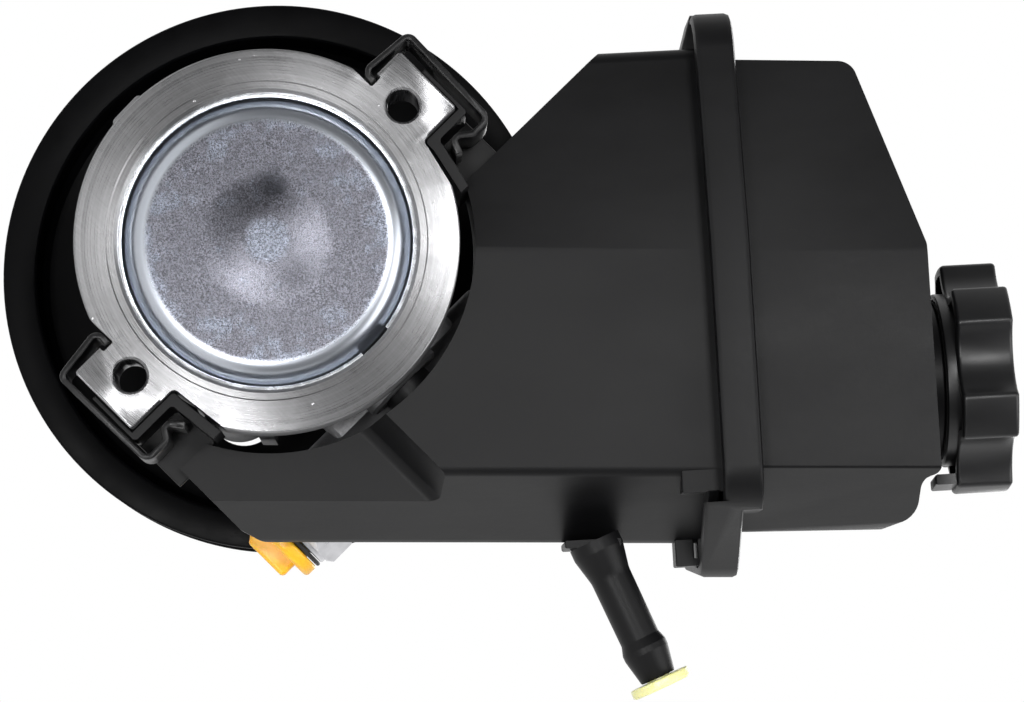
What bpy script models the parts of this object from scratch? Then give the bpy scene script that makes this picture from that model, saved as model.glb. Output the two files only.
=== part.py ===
"""Vane-type power steering pump with its plastic fluid reservoir.

The row's frame: +Y runs along the drive shaft towards the pulley, +Z is up, along the
filler cap's axis, and +X is to the left of a viewer who faces the pulley. The origin is
on the shaft's axis, in the plane of the front mounting bosses.
"""

import math

import bmesh
import bpy
from mathutils import Matrix, Vector

MM = 0.001

# Clearances
SEAT_GAP = 0.3 * MM
RUNNING_GAP = 0.35 * MM
OVERRUN = 5 * MM
FAR = 200 * MM

# Direction of the two ears, measured from -X towards +Z about the shaft
EAR_ANGLE = math.radians(48)

# Pump housing, along the shaft from the front bosses back to the machined rear face
HOUSING_LENGTH = 72 * MM
BOSS_HEIGHT = 8 * MM
RING_RADIUS = 49.5 * MM
RING_THICKNESS = 15 * MM
RING_STEP_RADIUS = 41 * MM
RING_STEP_DEPTH = 0.35 * MM
RING_EDGE = 0.6 * MM
BODY_RADIUS = 44 * MM
COVER_BORE_RADIUS = 38.4 * MM
COVER_BORE_DEPTH = 14 * MM
BORE_CHAMFER = 0.9 * MM
CHAMBER_RADIUS = 36 * MM
CHAMBER_FLOOR = 26 * MM
NOSE_RADIUS = 19 * MM
NOSE_LENGTH = 11 * MM
GATE_BUMP_HEIGHT = 0.6 * MM
GATE_BUMP_WIDTH = 9 * MM
GATE_BUMP_ANGLE = math.radians(136)
CASTING_RIB_THICKNESS = 4 * MM
CASTING_RIB_REACH = 5 * MM
CASTING_RIB_FRONT = BOSS_HEIGHT + 8 * MM
CASTING_RIB_DEGREES = (-95, -84, 4, 22)

# Ears that carry the clips and the rear bracket's screws
EAR_PROUD = 9.2 * MM
EAR_REACH = RING_RADIUS + EAR_PROUD
EAR_HALF_WIDTH = 10 * MM
EAR_THICKNESS = 20 * MM
EAR_HOLE_RADIUS = 4.5 * MM
EAR_HOLE_CIRCLE = EAR_REACH - 9.5 * MM
EAR_HOLE_CHAMFER = 0.4 * MM
EAR_CORNER = 0.9 * MM
EAR_ROOT = RING_RADIUS - 6.5 * MM
EAR_HOOKED_EXTRA = 0.6 * MM
HOOK_NOTCH_FLOOR = {1: RING_RADIUS - 2.6 * MM, -1: RING_RADIUS - 3.3 * MM}
HOOK_NOTCH_WIDTH = 3.5 * MM
HOOK_NOTCH_SIDE = 9.1 * MM
HOOK_NOTCH_END = 19.5 * MM
WALL_NOTCH_ROOT = {1: RING_RADIUS - 3.4 * MM, -1: RING_RADIUS - 6.1 * MM}
WALL_NOTCH_FALL = {1: 0.24, -1: 0.12}
WALL_NOTCH_END = 28 * MM
WALL_NOTCH_STRAIGHT = 2 * MM
WALL_NOTCH_CORNER = 1.6 * MM

# Front mounting bosses
BOSS_COUNT = 3
BOSS_CIRCLE = 38 * MM
BOSS_RADIUS = 10.5 * MM
BOSS_HOLE_RADIUS = 4.3 * MM
BOSS_HOLE_DEPTH = 17 * MM
BOSS_ROOT = 50 * MM
BOSS_ROOT_TAPER = 12 * MM

# Flow control valve's bore, tangential and in line with the ears
VALVE_OFFSET = 55.5 * MM
VALVE_DEPTH = 18 * MM
VALVE_BOSS_RADIUS = 13.3 * MM
VALVE_BORE_RADIUS = 8.2 * MM
VALVE_BOSS_OUTER_END = 38 * MM
VALVE_BOSS_BLIND_END = 34 * MM
VALVE_BORE_BOTTOM = 27 * MM
VALVE_WEB_HALF_LENGTH = 22 * MM
VALVE_WEB_HALF_DEPTH = 10 * MM
SPOOL_LENGTH = 22 * MM
SPOOL_GROOVE_DEPTH = 1.6 * MM
VALVE_SPRING_INSET = 2.4 * MM
VALVE_SPRING_WIRE = 0.8 * MM
VALVE_SPRING_TURNS = 5

# Outlet fitting and its shipping plug
FITTING_SHANK_RADIUS = 9.9 * MM
FITTING_SHANK_LENGTH = 17 * MM
FITTING_FLATS = 22.4 * MM
FITTING_HEX_LENGTH = 8.4 * MM
FITTING_COLLAR_RADIUS = 10.7 * MM
FITTING_COLLAR_LENGTH = 1.3 * MM
FITTING_PORT_RADIUS = 7.0 * MM
FITTING_PORT_DEPTH = 18 * MM
FITTING_ORIFICE_RADIUS = 3.2 * MM
FITTING_RING_SECTION = 1.1 * MM
FITTING_RING_PLAY = 0.15 * MM
FITTING_GROOVE_DEPTH = 0.9 * MM
PORT_PLUG_RADIUS = 10.5 * MM
PORT_PLUG_THICKNESS = 3.8 * MM
PORT_PLUG_SHANK_LENGTH = 13 * MM
PORT_GASKET_THICKNESS = 1.1 * MM
PORT_GRIP_HEIGHT = 4.6 * MM
PORT_GRIP_THICKNESS = 5 * MM
PORT_GRIP_LONG_END = 11.6 * MM
PORT_GRIP_SHORT_END = 6 * MM
PORT_GRIP_WING = 3 * MM

# Inlet between the reservoir and the housing
INLET_DEPTH = 46 * MM
INLET_BOSS_RADIUS = 11.5 * MM
INLET_BOSS_REACH = RING_RADIUS + 0.5 * MM
INLET_PORT_RADIUS = 8.2 * MM
SPIGOT_RADIUS = 7 * MM
SPIGOT_BORE_RADIUS = 4.6 * MM
SPIGOT_TIP = INLET_BOSS_REACH - 9 * MM
SPIGOT_RING_PLACE = INLET_BOSS_REACH - 4 * MM
SPIGOT_RING_SECTION = 0.85 * MM
SPIGOT_GROOVE_HALF_WIDTH = 1.2 * MM

# Drive shaft and what carries it
SHAFT_RADIUS = 8.5 * MM
SHAFT_NOSE = 48 * MM
SHAFT_TAIL = 51 * MM
SHAFT_CHAMFER = 1 * MM
SHAFT_TAP_RADIUS = 3.4 * MM
SHAFT_TAP_DEPTH = 18 * MM
SHAFT_RING_GROOVE = 1.2 * MM
ROTOR_RING_GAP = math.radians(50)
ROTOR_RING_INSET = 2.2 * MM
BEARING_WALL = 2.4 * MM
BEARING_LENGTH = 20 * MM
BEARING_FRONT = 3.5 * MM
SEAL_RADIUS = 14.5 * MM
SEAL_LENGTH = 8 * MM
SEAL_FRONT = 9 * MM
SEAL_CASE_WALL = 1.2 * MM
SEAL_LIP_LENGTH = 3 * MM

# Pumping group
ROTOR_RADIUS = 21.6 * MM
ROTOR_WIDTH = 14.6 * MM
ROTOR_SLOTS = 10
VANE_THICKNESS = 1.5 * MM
VANE_HEIGHT = 7.4 * MM
CAM_MINOR_RADIUS = 22.5 * MM
CAM_MAJOR_RADIUS = 24.8 * MM
PLATE_RADIUS = 35.4 * MM
THRUST_PLATE_THICKNESS = 6.6 * MM
CAM_RING_WIDTH = 15.2 * MM
PRESSURE_PLATE_THICKNESS = 8 * MM
PRESSURE_PLATE_BORE = 12.5 * MM
PLATE_GROOVE_HALF_WIDTH = 1.7 * MM
PLATE_RING_SECTION = 1.1 * MM
DOWEL_RADIUS = 2.5 * MM
DOWEL_CIRCLE = 30 * MM
DOWEL_DEPTH = 5 * MM
PORT_ARC = math.radians(42)
PORT_INNER_RADIUS = 16.5 * MM
PORT_OUTER_RADIUS = 21 * MM
PLATE_SPRING_WIRE = 1.1 * MM
PLATE_SPRING_RADII = (24 * MM, 15.5 * MM)
PLATE_SPRING_TURNS = 2.5

# Rear end cover, its wire ring and its seal
COVER_TOP_DEPTH = 0.9 * MM
COVER_PLATEAU_RADIUS = 31 * MM
COVER_SHOULDER_RADIUS = 3.4 * MM
COVER_RIM_FACE_DEPTH = 5.2 * MM
COVER_EDGE_RADIUS = 37.9 * MM
COVER_EDGE_LENGTH = 7.2 * MM
COVER_RIM_WIDTH = 2.2 * MM
COVER_RIM_FALL = 0.12
COVER_WALL = 4.6 * MM
COVER_CONE_RADIUS = 15 * MM
COVER_CONE_HEIGHT = 1.3 * MM
COVER_CENTRE_RADIUS = 4.6 * MM
WIRE_RING_DEPTH = 3.4 * MM
WIRE_RING_THICKNESS = 1.3 * MM
WIRE_RING_INNER_RADIUS = 37.1 * MM
WIRE_RING_OUTER_RADIUS = 39.4 * MM
WIRE_RING_GAP = math.radians(14)
WIRE_RING_GAP_ANGLE = math.radians(44)
COVER_SEAL_SECTION = 1.2 * MM
COVER_SEAL_DEPTH = 9.6 * MM

# Pulley
PULLEY_RADIUS = 76 * MM
PULLEY_REAR = 13 * MM
PULLEY_WIDTH = 26 * MM
PULLEY_FLANGE = 2.2 * MM
PULLEY_BELT_RADIUS = 73.4 * MM
PULLEY_GROOVE_DEPTH = 2.9 * MM
PULLEY_GROOVES = 6
PULLEY_RIM_WALL = 3.8 * MM
PULLEY_WEB_FRONT = 7 * MM
PULLEY_WEB_THICKNESS = 3.4 * MM
PULLEY_HUB_RADIUS = 15 * MM
PULLEY_HUB_REAR = 14 * MM
PULLEY_HUB_FRONT = 46 * MM
PULLEY_PULLER_GROOVE_DEPTH = 2.4 * MM
PULLEY_PULLER_GROOVE_WIDTH = 3.2 * MM
PULLEY_PULLER_LIP = 3 * MM
PULLEY_WINDOW_RADIUS = 9.5 * MM

# Reservoir, lower half: its section across the cap's axis
TANK_WALL = 2.8 * MM
TANK_MOUTH_Z = 119.7 * MM
TANK_TOP_X = -47.3 * MM
TANK_TOP_REAR = 54 * MM
TANK_REAR = 64 * MM
TANK_FACET_X = 1 * MM
TANK_BREAK_X = 59.2 * MM
TANK_BOTTOM_X = 76.1 * MM
TANK_BAND_FRONT = 34 * MM
TANK_FRONT = 22 * MM
TANK_FRONT_TOP_X = -44 * MM
TANK_FRONT_BOTTOM_X = 72.5 * MM
TANK_SPREAD = 0.056
TANK_CORNER = 4 * MM

# Reservoir, lower half: its outline seen from the rear
TANK_PUMP_GAP = 4 * MM
TANK_PUMP_RADIUS = RING_RADIUS + TANK_PUMP_GAP
TANK_SHOULDER = 24.4 * MM
ARM_REACH = TANK_PUMP_RADIUS + 3.5 * MM
ARM_CORNER_RISE = 3.8 * MM
ARM_CORNER_RUN = 13 * MM
ARM_CORNER_BEND = 0.4
ARM_REAR = 52 * MM
ARM_STEP_START = 24.7 * MM
ARM_STEP_END = 33 * MM
SLAB_FRONT = 33.5 * MM
TANK_DEEP_FROM = TANK_MOUTH_Z - 35.7 * MM
TANK_LOW_Z = -60 * MM

# Rails that slide over the ears, with a pocket for each clip's end
RAIL_THICKNESS = 1.3 * MM
RAIL_FAR_END = 3 * MM
RAIL_REAR = 69 * MM
RAIL_FRONT = {1: 39 * MM, -1: 47.4 * MM}
RAIL_WALL = 2.4 * MM
RAIL_WALL_GAP = 0.7 * MM
RAIL_CORNER = 1.2 * MM
POCKET_FLOOR = 49 * MM
POCKET_LAP = 1 * MM
POCKET_DEEPENING = 0.4 * MM

# Spring clips
CLIP_THICKNESS = 1.6 * MM
CLIP_REAR = 70.5 * MM
CLIP_WIDTH = 19 * MM
CLIP_BENDS = {
    1: ((48.6, -10), (48.6, -13.4), (63.6, -12.2), (62.9, 8), (62.6, 17.8), (57, 17.8),
        (54, 15.4), (52.4, 15.4), (50.9, 18.9)),
    -1: ((47.5, -10), (47.2, -14.4), (61.9, -12.5), (61.9, -6), (61.4, 18.4), (54.4, 18.2),
         (52.6, 15.5), (50.8, 15.4), (48.4, 18.6))}
CLIP_BEND_RADII = (0, 2, 1.8, 9, 2.4, 1.6, 1.2, 1.2, 0)

# Weld flange between the two halves
WELD_FLANGE_Z = TANK_MOUTH_Z - 5.2 * MM
WELD_FLANGE_THICKNESS = 3 * MM
WELD_FLANGE_PROUD = 5.5 * MM
SKIRT_BOTTOM_Z = TANK_MOUTH_Z - 6.4 * MM
SKIRT_PROUD = 9 * MM
SKIRT_WALL = 2.4 * MM
FLANGE_PLATE = 3.7 * MM
FLANGE_STEP_X = 73 * MM
FLANGE_STEP = 5 * MM

# Reservoir, upper half
COVER_INSET = 3 * MM
LID_END_Z = TANK_MOUTH_Z + 51.1 * MM
LID_SHOULDER_Z = LID_END_Z - 14.3 * MM
LID_STEP_X = 68.6 * MM
LID_STEP = 4.6 * MM
LID_STEP_CORNER = 2 * MM
LID_SLANT_TOP_X = -37 * MM
LID_SLANT_END_X = 8.5 * MM
LID_CORNER = 5 * MM
LID_TOP_LEAN = 2.6 * MM

# Filler neck, cap and dipstick
NECK_X = 41.5 * MM
NECK_Y = -22 * MM
NECK_RADIUS = 21 * MM
NECK_BORE_RADIUS = 17.8 * MM
NECK_HEIGHT = 4.9 * MM
CAP_LOBES = 6
CAP_RADIUS = 30.8 * MM
CAP_LOBE_ARC = math.radians(23.4)
CAP_LOBE_ANGLE = math.radians(-6)
CAP_VALLEY_RADIUS = 24.6 * MM
CAP_TAB_WIDTH = 11 * MM
CAP_TAB_THICKNESS = 2.8 * MM
CAP_TAB_INSET = 1.6 * MM
CAP_TAB_DROP = 4.6 * MM
CAP_HEIGHT = 16 * MM
CAP_EDGE = 1.6 * MM
CAP_SKIRT_RADIUS = 23.2 * MM
CAP_SKIRT_WALL = 1.6 * MM
CAP_SKIRT_DROP = 1.8 * MM
CAP_PLUG_RADIUS = 9.5 * MM
CAP_PLUG_DROP = 4.6 * MM
CAP_RECESS_RADIUS = 15 * MM
CAP_RECESS_DEPTH = 3 * MM
CAP_SEAL_THICKNESS = 1.5 * MM
DIPSTICK_WIDTH = 7 * MM
DIPSTICK_THICKNESS = 2.4 * MM
DIPSTICK_TAPER = 8 * MM
DIPSTICK_POINT = 0.4
DIPSTICK_TIP_Z = TANK_MOUTH_Z - 26.7 * MM
DIPSTICK_SOCKET_DEPTH = 6 * MM
DIPSTICK_BOSS_RADIUS = 5.5 * MM
DIPSTICK_BOSS_DROP = 13 * MM

# Return tube and its shipping plug
TUBE_ROOT_X = 81.5 * MM
TUBE_ROOT_Y = -48 * MM
TUBE_ROOT_Z = TANK_MOUTH_Z - 38.9 * MM
TUBE_ANGLE = math.radians(22)
TUBE_RADIUS = 5.4 * MM
TUBE_BORE_RADIUS = 3.5 * MM
TUBE_ROOT_RADIUS = 6.9 * MM
TUBE_ROOT_TAPER = 9 * MM
TUBE_LENGTH = 38.2 * MM
TUBE_BARB_RADIUS = 6.1 * MM
TUBE_BARB_PLACE = 29.5 * MM
TUBE_TIP_RADIUS = 4.7 * MM
TUBE_WEB_THICKNESS = 2.4 * MM
TUBE_WEB_SPREAD = 10.5 * MM
TUBE_WEB_LENGTH = 15 * MM
TUBE_SINK = 14 * MM
RETURN_PLUG_RADIUS = 8.2 * MM
RETURN_PLUG_THICKNESS = 2.6 * MM
RETURN_PLUG_SHANK = 11 * MM

# Chamfers and tapers of the smaller forms
CHAMFER_HAIR = 0.2 * MM
CHAMFER_THIN = 0.3 * MM
CHAMFER_FINE = 0.4 * MM
CHAMFER_SLIM = 0.5 * MM
CHAMFER_SMALL = 0.6 * MM
CHAMFER_LIGHT = 0.7 * MM
CHAMFER_MEDIUM = 0.8 * MM
CHAMFER = 1 * MM
CHAMFER_WIDE = 1.5 * MM
TAPER = 2 * MM
TAPER_LONG = 3 * MM
TAPER_DEEP = 4 * MM

# Facets of the round forms
LARGE_ROUND = 36
MEDIUM_ROUND = 24
SMALL_ROUND = 12
HOLE_ROUND = 8
RING_SECTION_SIDES = 5
COIL_STEPS = 9
COIL_SIDES = 4
SHARP = math.radians(35)
WELD = 0.001 * MM

# Places worked out from the sizes above
REAR_FACE = -HOUSING_LENGTH
FACE_NORMAL = Vector((0, 1, 0))
EAR_WAY = Vector((-math.cos(EAR_ANGLE), 0, math.sin(EAR_ANGLE)))
SIDE_WAY = Vector((math.sin(EAR_ANGLE), 0, math.cos(EAR_ANGLE)))
UPPER = 1
LOWER = -1
BORE_ENTRY = REAR_FACE + COVER_BORE_DEPTH
THRUST_FRONT = -CHAMBER_FLOOR - SEAT_GAP
THRUST_BACK = THRUST_FRONT - THRUST_PLATE_THICKNESS
CAM_FRONT = THRUST_BACK - SEAT_GAP
CAM_BACK = CAM_FRONT - CAM_RING_WIDTH
PRESSURE_FRONT = CAM_BACK - SEAT_GAP
PRESSURE_BACK = PRESSURE_FRONT - PRESSURE_PLATE_THICKNESS
RIM_FACE = REAR_FACE + COVER_RIM_FACE_DEPTH
PLATEAU_FACE = REAR_FACE + COVER_TOP_DEPTH


def material(name, colour, roughness, metallic=0.0):
    """A plain Principled BSDF finish."""
    made = bpy.data.materials.new(name)
    made.use_nodes = True
    shader = made.node_tree.nodes["Principled BSDF"]
    shader.inputs["Base Color"].default_value = (*colour, 1.0)
    shader.inputs["Roughness"].default_value = roughness
    shader.inputs["Metallic"].default_value = metallic
    made.diffuse_color = (*colour, 1.0)
    return made


def place_along(origin, way, side=None):
    """A frame at origin whose local Z points along way and whose local X is near side."""
    z_axis = Vector(way).normalized()
    near = Vector(side) if side is not None else Vector((0, 0, 1))
    if abs(near.normalized().dot(z_axis)) > 0.99:
        near = Vector((1, 0, 0))
    x_axis = (near - near.dot(z_axis) * z_axis).normalized()
    y_axis = z_axis.cross(x_axis)
    frame = Matrix((x_axis, y_axis, z_axis)).transposed().to_4x4()
    frame.translation = Vector(origin)
    return frame


SHAFT_PLACE = place_along((0, 0, 0), FACE_NORMAL, (1, 0, 0))
UPRIGHT = Matrix.Identity(4)


def make_object(name, work, place, finish=None):
    """Turn a working mesh into one linked object with its faces pointing out and its round
    sides smooth."""
    bmesh.ops.remove_doubles(work, verts=work.verts, dist=WELD)
    bmesh.ops.recalc_face_normals(work, faces=work.faces)
    mesh = bpy.data.meshes.new(name)
    work.to_mesh(mesh)
    work.free()
    mesh.shade_smooth()
    mesh.set_sharp_from_angle(angle=SHARP)
    made = bpy.data.objects.new(name, mesh)
    made.matrix_world = place
    bpy.context.scene.collection.objects.link(made)
    if finish is not None:
        mesh.materials.append(finish)
    return made


def lofted(name, rings, place=UPRIGHT, finish=None):
    """Extrude the face of the first point ring through the others, which have as many
    points each."""
    work = bmesh.new()
    corners = [work.verts.new(point) for point in rings[0]]
    face = work.faces.new(corners)
    for number, ring in enumerate(rings[1:]):
        made = bmesh.ops.extrude_face_region(work, geom=[face])["geom"]
        if number > 0:
            bmesh.ops.delete(work, geom=[face], context="FACES_ONLY")
        face = next(part for part in made if isinstance(part, bmesh.types.BMFace))
        fresh = {tuple(vert.co): vert for vert in face.verts}
        corners = [fresh[tuple(corner.co)] for corner in corners]
        for corner, point in zip(corners, ring):
            corner.co = point
    return make_object(name, work, place, finish)


def turned(name, profile, place=SHAFT_PLACE, finish=None, sides=LARGE_ROUND, tube=True,
           start=0.0, turn=2 * math.pi):
    """Spin a profile of (along, radius) points about the local Z axis. A tube's profile
    closes on itself, and one that isn't a tube starts and ends on the axis. A turn of less
    than a full circle gets a face at each end."""
    work = bmesh.new()
    first = Matrix.Rotation(start, 4, "Z")
    points = [work.verts.new(first @ Vector((radius, 0, along))) for along, radius in profile]
    edges = [work.edges.new(pair) for pair in zip(points, points[1:])]
    if tube:
        edges.append(work.edges.new((points[-1], points[0])))
    whole = turn > 1.999 * math.pi
    bmesh.ops.spin(work, geom=points + edges, cent=(0, 0, 0), axis=(0, 0, 1), angle=turn,
                   steps=sides, use_merge=whole)
    if not whole:
        bmesh.ops.edgeloop_fill(work, edges=[edge for edge in work.edges if edge.is_boundary])
    return make_object(name, work, place, finish)


def prism(name, outline, low, high, place=UPRIGHT, finish=None):
    """Extrude a flat outline of (x, y) points from low to high along the local Z axis."""
    rings = [[(x, y, level) for x, y in outline] for level in (low, high)]
    return lofted(name, rings, place, finish)


def block(name, low, high, place=UPRIGHT, finish=None):
    """A rectangular block between two corners."""
    outline = [(low[0], low[1]), (high[0], low[1]), (high[0], high[1]), (low[0], high[1])]
    return prism(name, outline, low[2], high[2], place, finish)


def combine(target, tools, operation):
    """Join, cut or intersect target with the tools in one step. The tools are used up."""
    group = bpy.data.collections.new("tools")
    for tool in tools:
        group.objects.link(tool)
    step = target.modifiers.new("step", "BOOLEAN")
    step.operation = operation
    step.solver = "EXACT"
    step.operand_type = "COLLECTION"
    step.collection = group
    graph = bpy.context.evaluated_depsgraph_get()
    graph.update()
    result = bpy.data.meshes.new_from_object(target.evaluated_get(graph))
    target.modifiers.clear()
    work = bmesh.new()
    work.from_mesh(result)
    bmesh.ops.remove_doubles(work, verts=work.verts, dist=WELD)
    bmesh.ops.dissolve_degenerate(work, dist=WELD, edges=work.edges)
    work.to_mesh(result)
    work.free()
    target.data = result
    result.shade_smooth()
    result.set_sharp_from_angle(angle=SHARP)
    for tool in tools:
        bpy.data.objects.remove(tool)
    bpy.data.collections.remove(group)
    return target


def split_faces(target):
    """Split the many-sided faces that cuts leave into well-shaped triangles."""
    work = bmesh.new()
    work.from_mesh(target.data)
    many_sided = [face for face in work.faces if len(face.verts) > 4]
    bmesh.ops.triangulate(work, faces=many_sided)
    work.to_mesh(target.data)
    work.free()
    return target


def join(target, *tools):
    return combine(target, tools, "UNION")


def cut(target, *tools):
    return combine(target, tools, "DIFFERENCE")


def keep(target, tool):
    return combine(target, [tool], "INTERSECT")


def rounded(points, radii, steps=4, closed=True):
    """Replace each corner of an outline by an arc of its own radius."""
    outline = []
    count = len(points)
    for index, point in enumerate(points):
        radius = radii[index] if isinstance(radii, (list, tuple)) else radii
        corner = Vector(point)
        at_end = not closed and index in (0, count - 1)
        if radius <= 0 or at_end:
            outline.append(tuple(corner))
            continue
        back = (Vector(points[index - 1]) - corner).normalized()
        ahead = (Vector(points[(index + 1) % count]) - corner).normalized()
        half = math.acos(max(-1.0, min(1.0, back.dot(ahead)))) / 2
        setback = radius / math.tan(half)
        centre = corner + (back + ahead).normalized() * radius / math.sin(half)
        start = corner + back * setback - centre
        end = corner + ahead * setback - centre
        for step in range(steps + 1):
            way = start.lerp(end, step / steps)
            outline.append(tuple(centre + way.normalized() * radius))
    return outline


def grown(outline, distance):
    """Move every side of an outline round its middle outwards, or inwards for a negative
    distance."""
    count = len(outline)
    centre = sum((Vector(point) for point in outline), Vector((0, 0))) / count
    moved = []
    for index in range(count):
        corner = Vector(outline[index])
        before = corner - Vector(outline[index - 1])
        after = Vector(outline[(index + 1) % count]) - corner
        normals = []
        for side in (before, after):
            normal = Vector((side.y, -side.x)).normalized()
            if normal.dot(corner - centre) < 0:
                normal = -normal
            normals.append(normal)
        both = (normals[0] + normals[1]).normalized()
        moved.append(tuple(corner + both * distance / max(0.3, both.dot(normals[0]))))
    return moved


def strip(path, thickness):
    """The outline of a bent strip whose middle line follows path."""
    left, right = [], []
    for index, point in enumerate(path):
        here = Vector(point)
        before = Vector(path[max(index - 1, 0)])
        after = Vector(path[min(index + 1, len(path) - 1)])
        along = (after - before).normalized()
        across = Vector((-along.y, along.x)) * thickness / 2
        left.append(tuple(here + across))
        right.append(tuple(here - across))
    return left + right[::-1]


def from_ear(side, out, across):
    """A point of the rear view, given along an ear and across it, as (x, y) in the
    shaft's place. side is UPPER or LOWER."""
    spot = EAR_WAY * out * side + SIDE_WAY * across
    return spot.x, -spot.z


def from_ear_outline(side, points):
    return [from_ear(side, out, across) for out, across in points]


def from_rear(points):
    """Rear-view points given as (X, Z), as (x, y) in the shaft's place."""
    return [(x, -z) for x, z in points]


def seal_ring(name, middle_radius, section, place, finish, sides=MEDIUM_ROUND):
    """An O-ring whose middle line has its centre at the place's origin."""
    angles = [2 * math.pi * step / RING_SECTION_SIDES for step in range(RING_SECTION_SIDES)]
    profile = [(section * math.sin(a), middle_radius + section * math.cos(a)) for a in angles]
    return turned(name, profile, place, finish, sides)


def coil(name, radii, wire, turns, low, high, place, finish):
    """A coil spring of round wire from low to high, its radius running between radii."""
    rings = []
    count = int(turns * COIL_STEPS)
    for step in range(count + 1):
        share = step / count
        angle = 2 * math.pi * turns * share
        radius = radii[0] + (radii[1] - radii[0]) * share
        height = low + (high - low) * share
        ring = []
        for side in range(COIL_SIDES):
            way = 2 * math.pi * side / COIL_SIDES
            out = radius + wire * math.cos(way)
            ring.append((out * math.cos(angle), out * math.sin(angle),
                         height + wire * math.sin(way)))
        rings.append(ring)
    return lofted(name, rings, place, finish)


def kidney(name, middle, low, high, sides=4):
    """A curved slot cutter round the shaft's axis, centred on the angle middle."""
    outline = []
    for radius, way in ((PORT_INNER_RADIUS, 1), (PORT_OUTER_RADIUS, -1)):
        for step in range(sides + 1):
            angle = middle + way * PORT_ARC * (step / sides - 0.5)
            outline.append((radius * math.cos(angle), radius * math.sin(angle)))
    return prism(name, outline, low, high, SHAFT_PLACE)


def ear_outline():
    """One ear from inside the ring outwards, a little wider on the hooked side."""
    hooked = -EAR_HALF_WIDTH - EAR_HOOKED_EXTRA
    points = [(EAR_ROOT, hooked), (EAR_REACH, hooked), (EAR_REACH, EAR_HALF_WIDTH),
              (EAR_ROOT, EAR_HALF_WIDTH)]
    return rounded(points, [0, EAR_CORNER, EAR_CORNER, 0], steps=2)


def hook_notch(side):
    """The slot beside an ear that takes the clip's hooked end, running out of the ring."""
    floor = HOOK_NOTCH_FLOOR[side]
    ceiling = floor + HOOK_NOTCH_WIDTH
    return [(floor, -HOOK_NOTCH_SIDE), (ceiling, -HOOK_NOTCH_SIDE), (ceiling, -HOOK_NOTCH_END),
            (floor, -HOOK_NOTCH_END)]


def wall_notch(side):
    """The ring's flattened edge on an ear's other side, where the pocket's wall lies."""
    start = EAR_HALF_WIDTH + SEAT_GAP / 3
    bend = start + WALL_NOTCH_STRAIGHT
    root = WALL_NOTCH_ROOT[side]
    far = root - WALL_NOTCH_FALL[side] * (WALL_NOTCH_END - bend)
    return rounded([(EAR_REACH, start), (root, start), (root, bend), (far, WALL_NOTCH_END),
                    (EAR_REACH, WALL_NOTCH_END)], [0, WALL_NOTCH_CORNER, 0, 0, 0], steps=3)


def valve_place():
    """On the valve's axis, local Z pointing out of the outlet."""
    return place_along(SIDE_WAY * VALVE_OFFSET - FACE_NORMAL * VALVE_DEPTH,
                       EAR_WAY * LOWER, SIDE_WAY)


def inlet_place():
    """On the inlet's axis, local Z pointing from the shaft to the reservoir."""
    return place_along(-FACE_NORMAL * INLET_DEPTH, SIDE_WAY, FACE_NORMAL)


def tube_place():
    way = Vector((math.cos(TUBE_ANGLE), 0, math.sin(TUBE_ANGLE)))
    return place_along((TUBE_ROOT_X, TUBE_ROOT_Y, TUBE_ROOT_Z), way, (0, 1, 0))


def neck_place(height=0.0):
    return Matrix.Translation((NECK_X, NECK_Y, height))


def boss_spots():
    """The front bosses, evenly spaced and clear of the valve."""
    for number in range(BOSS_COUNT):
        angle = math.pi * (1 + 2 * number / BOSS_COUNT)
        spot = SIDE_WAY * math.cos(angle) + EAR_WAY * math.sin(angle)
        yield spot.x * BOSS_CIRCLE, -spot.z * BOSS_CIRCLE


def make_housing(finish):
    """The die-cast body: all its outside forms joined, then every bore cut."""
    front = -BOSS_HEIGHT
    housing = turned("pump_housing", [
        (REAR_FACE, 0),
        (REAR_FACE, RING_RADIUS - RING_EDGE),
        (REAR_FACE + RING_EDGE, RING_RADIUS),
        (REAR_FACE + RING_THICKNESS - TAPER, RING_RADIUS),
        (REAR_FACE + RING_THICKNESS + TAPER, BODY_RADIUS),
        (front - TAPER_DEEP, BODY_RADIUS),
        (front, BODY_RADIUS - TAPER_DEEP),
        (front, NOSE_RADIUS + TAPER_LONG),
        (front + TAPER_LONG, NOSE_RADIUS),
        (NOSE_LENGTH - CHAMFER, NOSE_RADIUS),
        (NOSE_LENGTH, NOSE_RADIUS - CHAMFER),
        (NOSE_LENGTH, 0)], SHAFT_PLACE, finish, tube=False)
    join(housing, *ears(), *mounting_bosses(), *casting_ribs(), *port_bosses())
    cut(housing, *ear_notches(), main_bore(), *threaded_holes(), *port_bores())
    return split_faces(housing)


def ears():
    """The two ears, as long as the ring is thick and a little more."""
    return [prism("ear", from_ear_outline(side, ear_outline()), REAR_FACE,
                  REAR_FACE + EAR_THICKNESS, SHAFT_PLACE) for side in (UPPER, LOWER)]


def ear_notches():
    return [prism("notch", from_ear_outline(side, outline(side)), REAR_FACE - OVERRUN,
                  REAR_FACE + EAR_THICKNESS + OVERRUN, SHAFT_PLACE)
            for side in (UPPER, LOWER) for outline in (hook_notch, wall_notch)]


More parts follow.
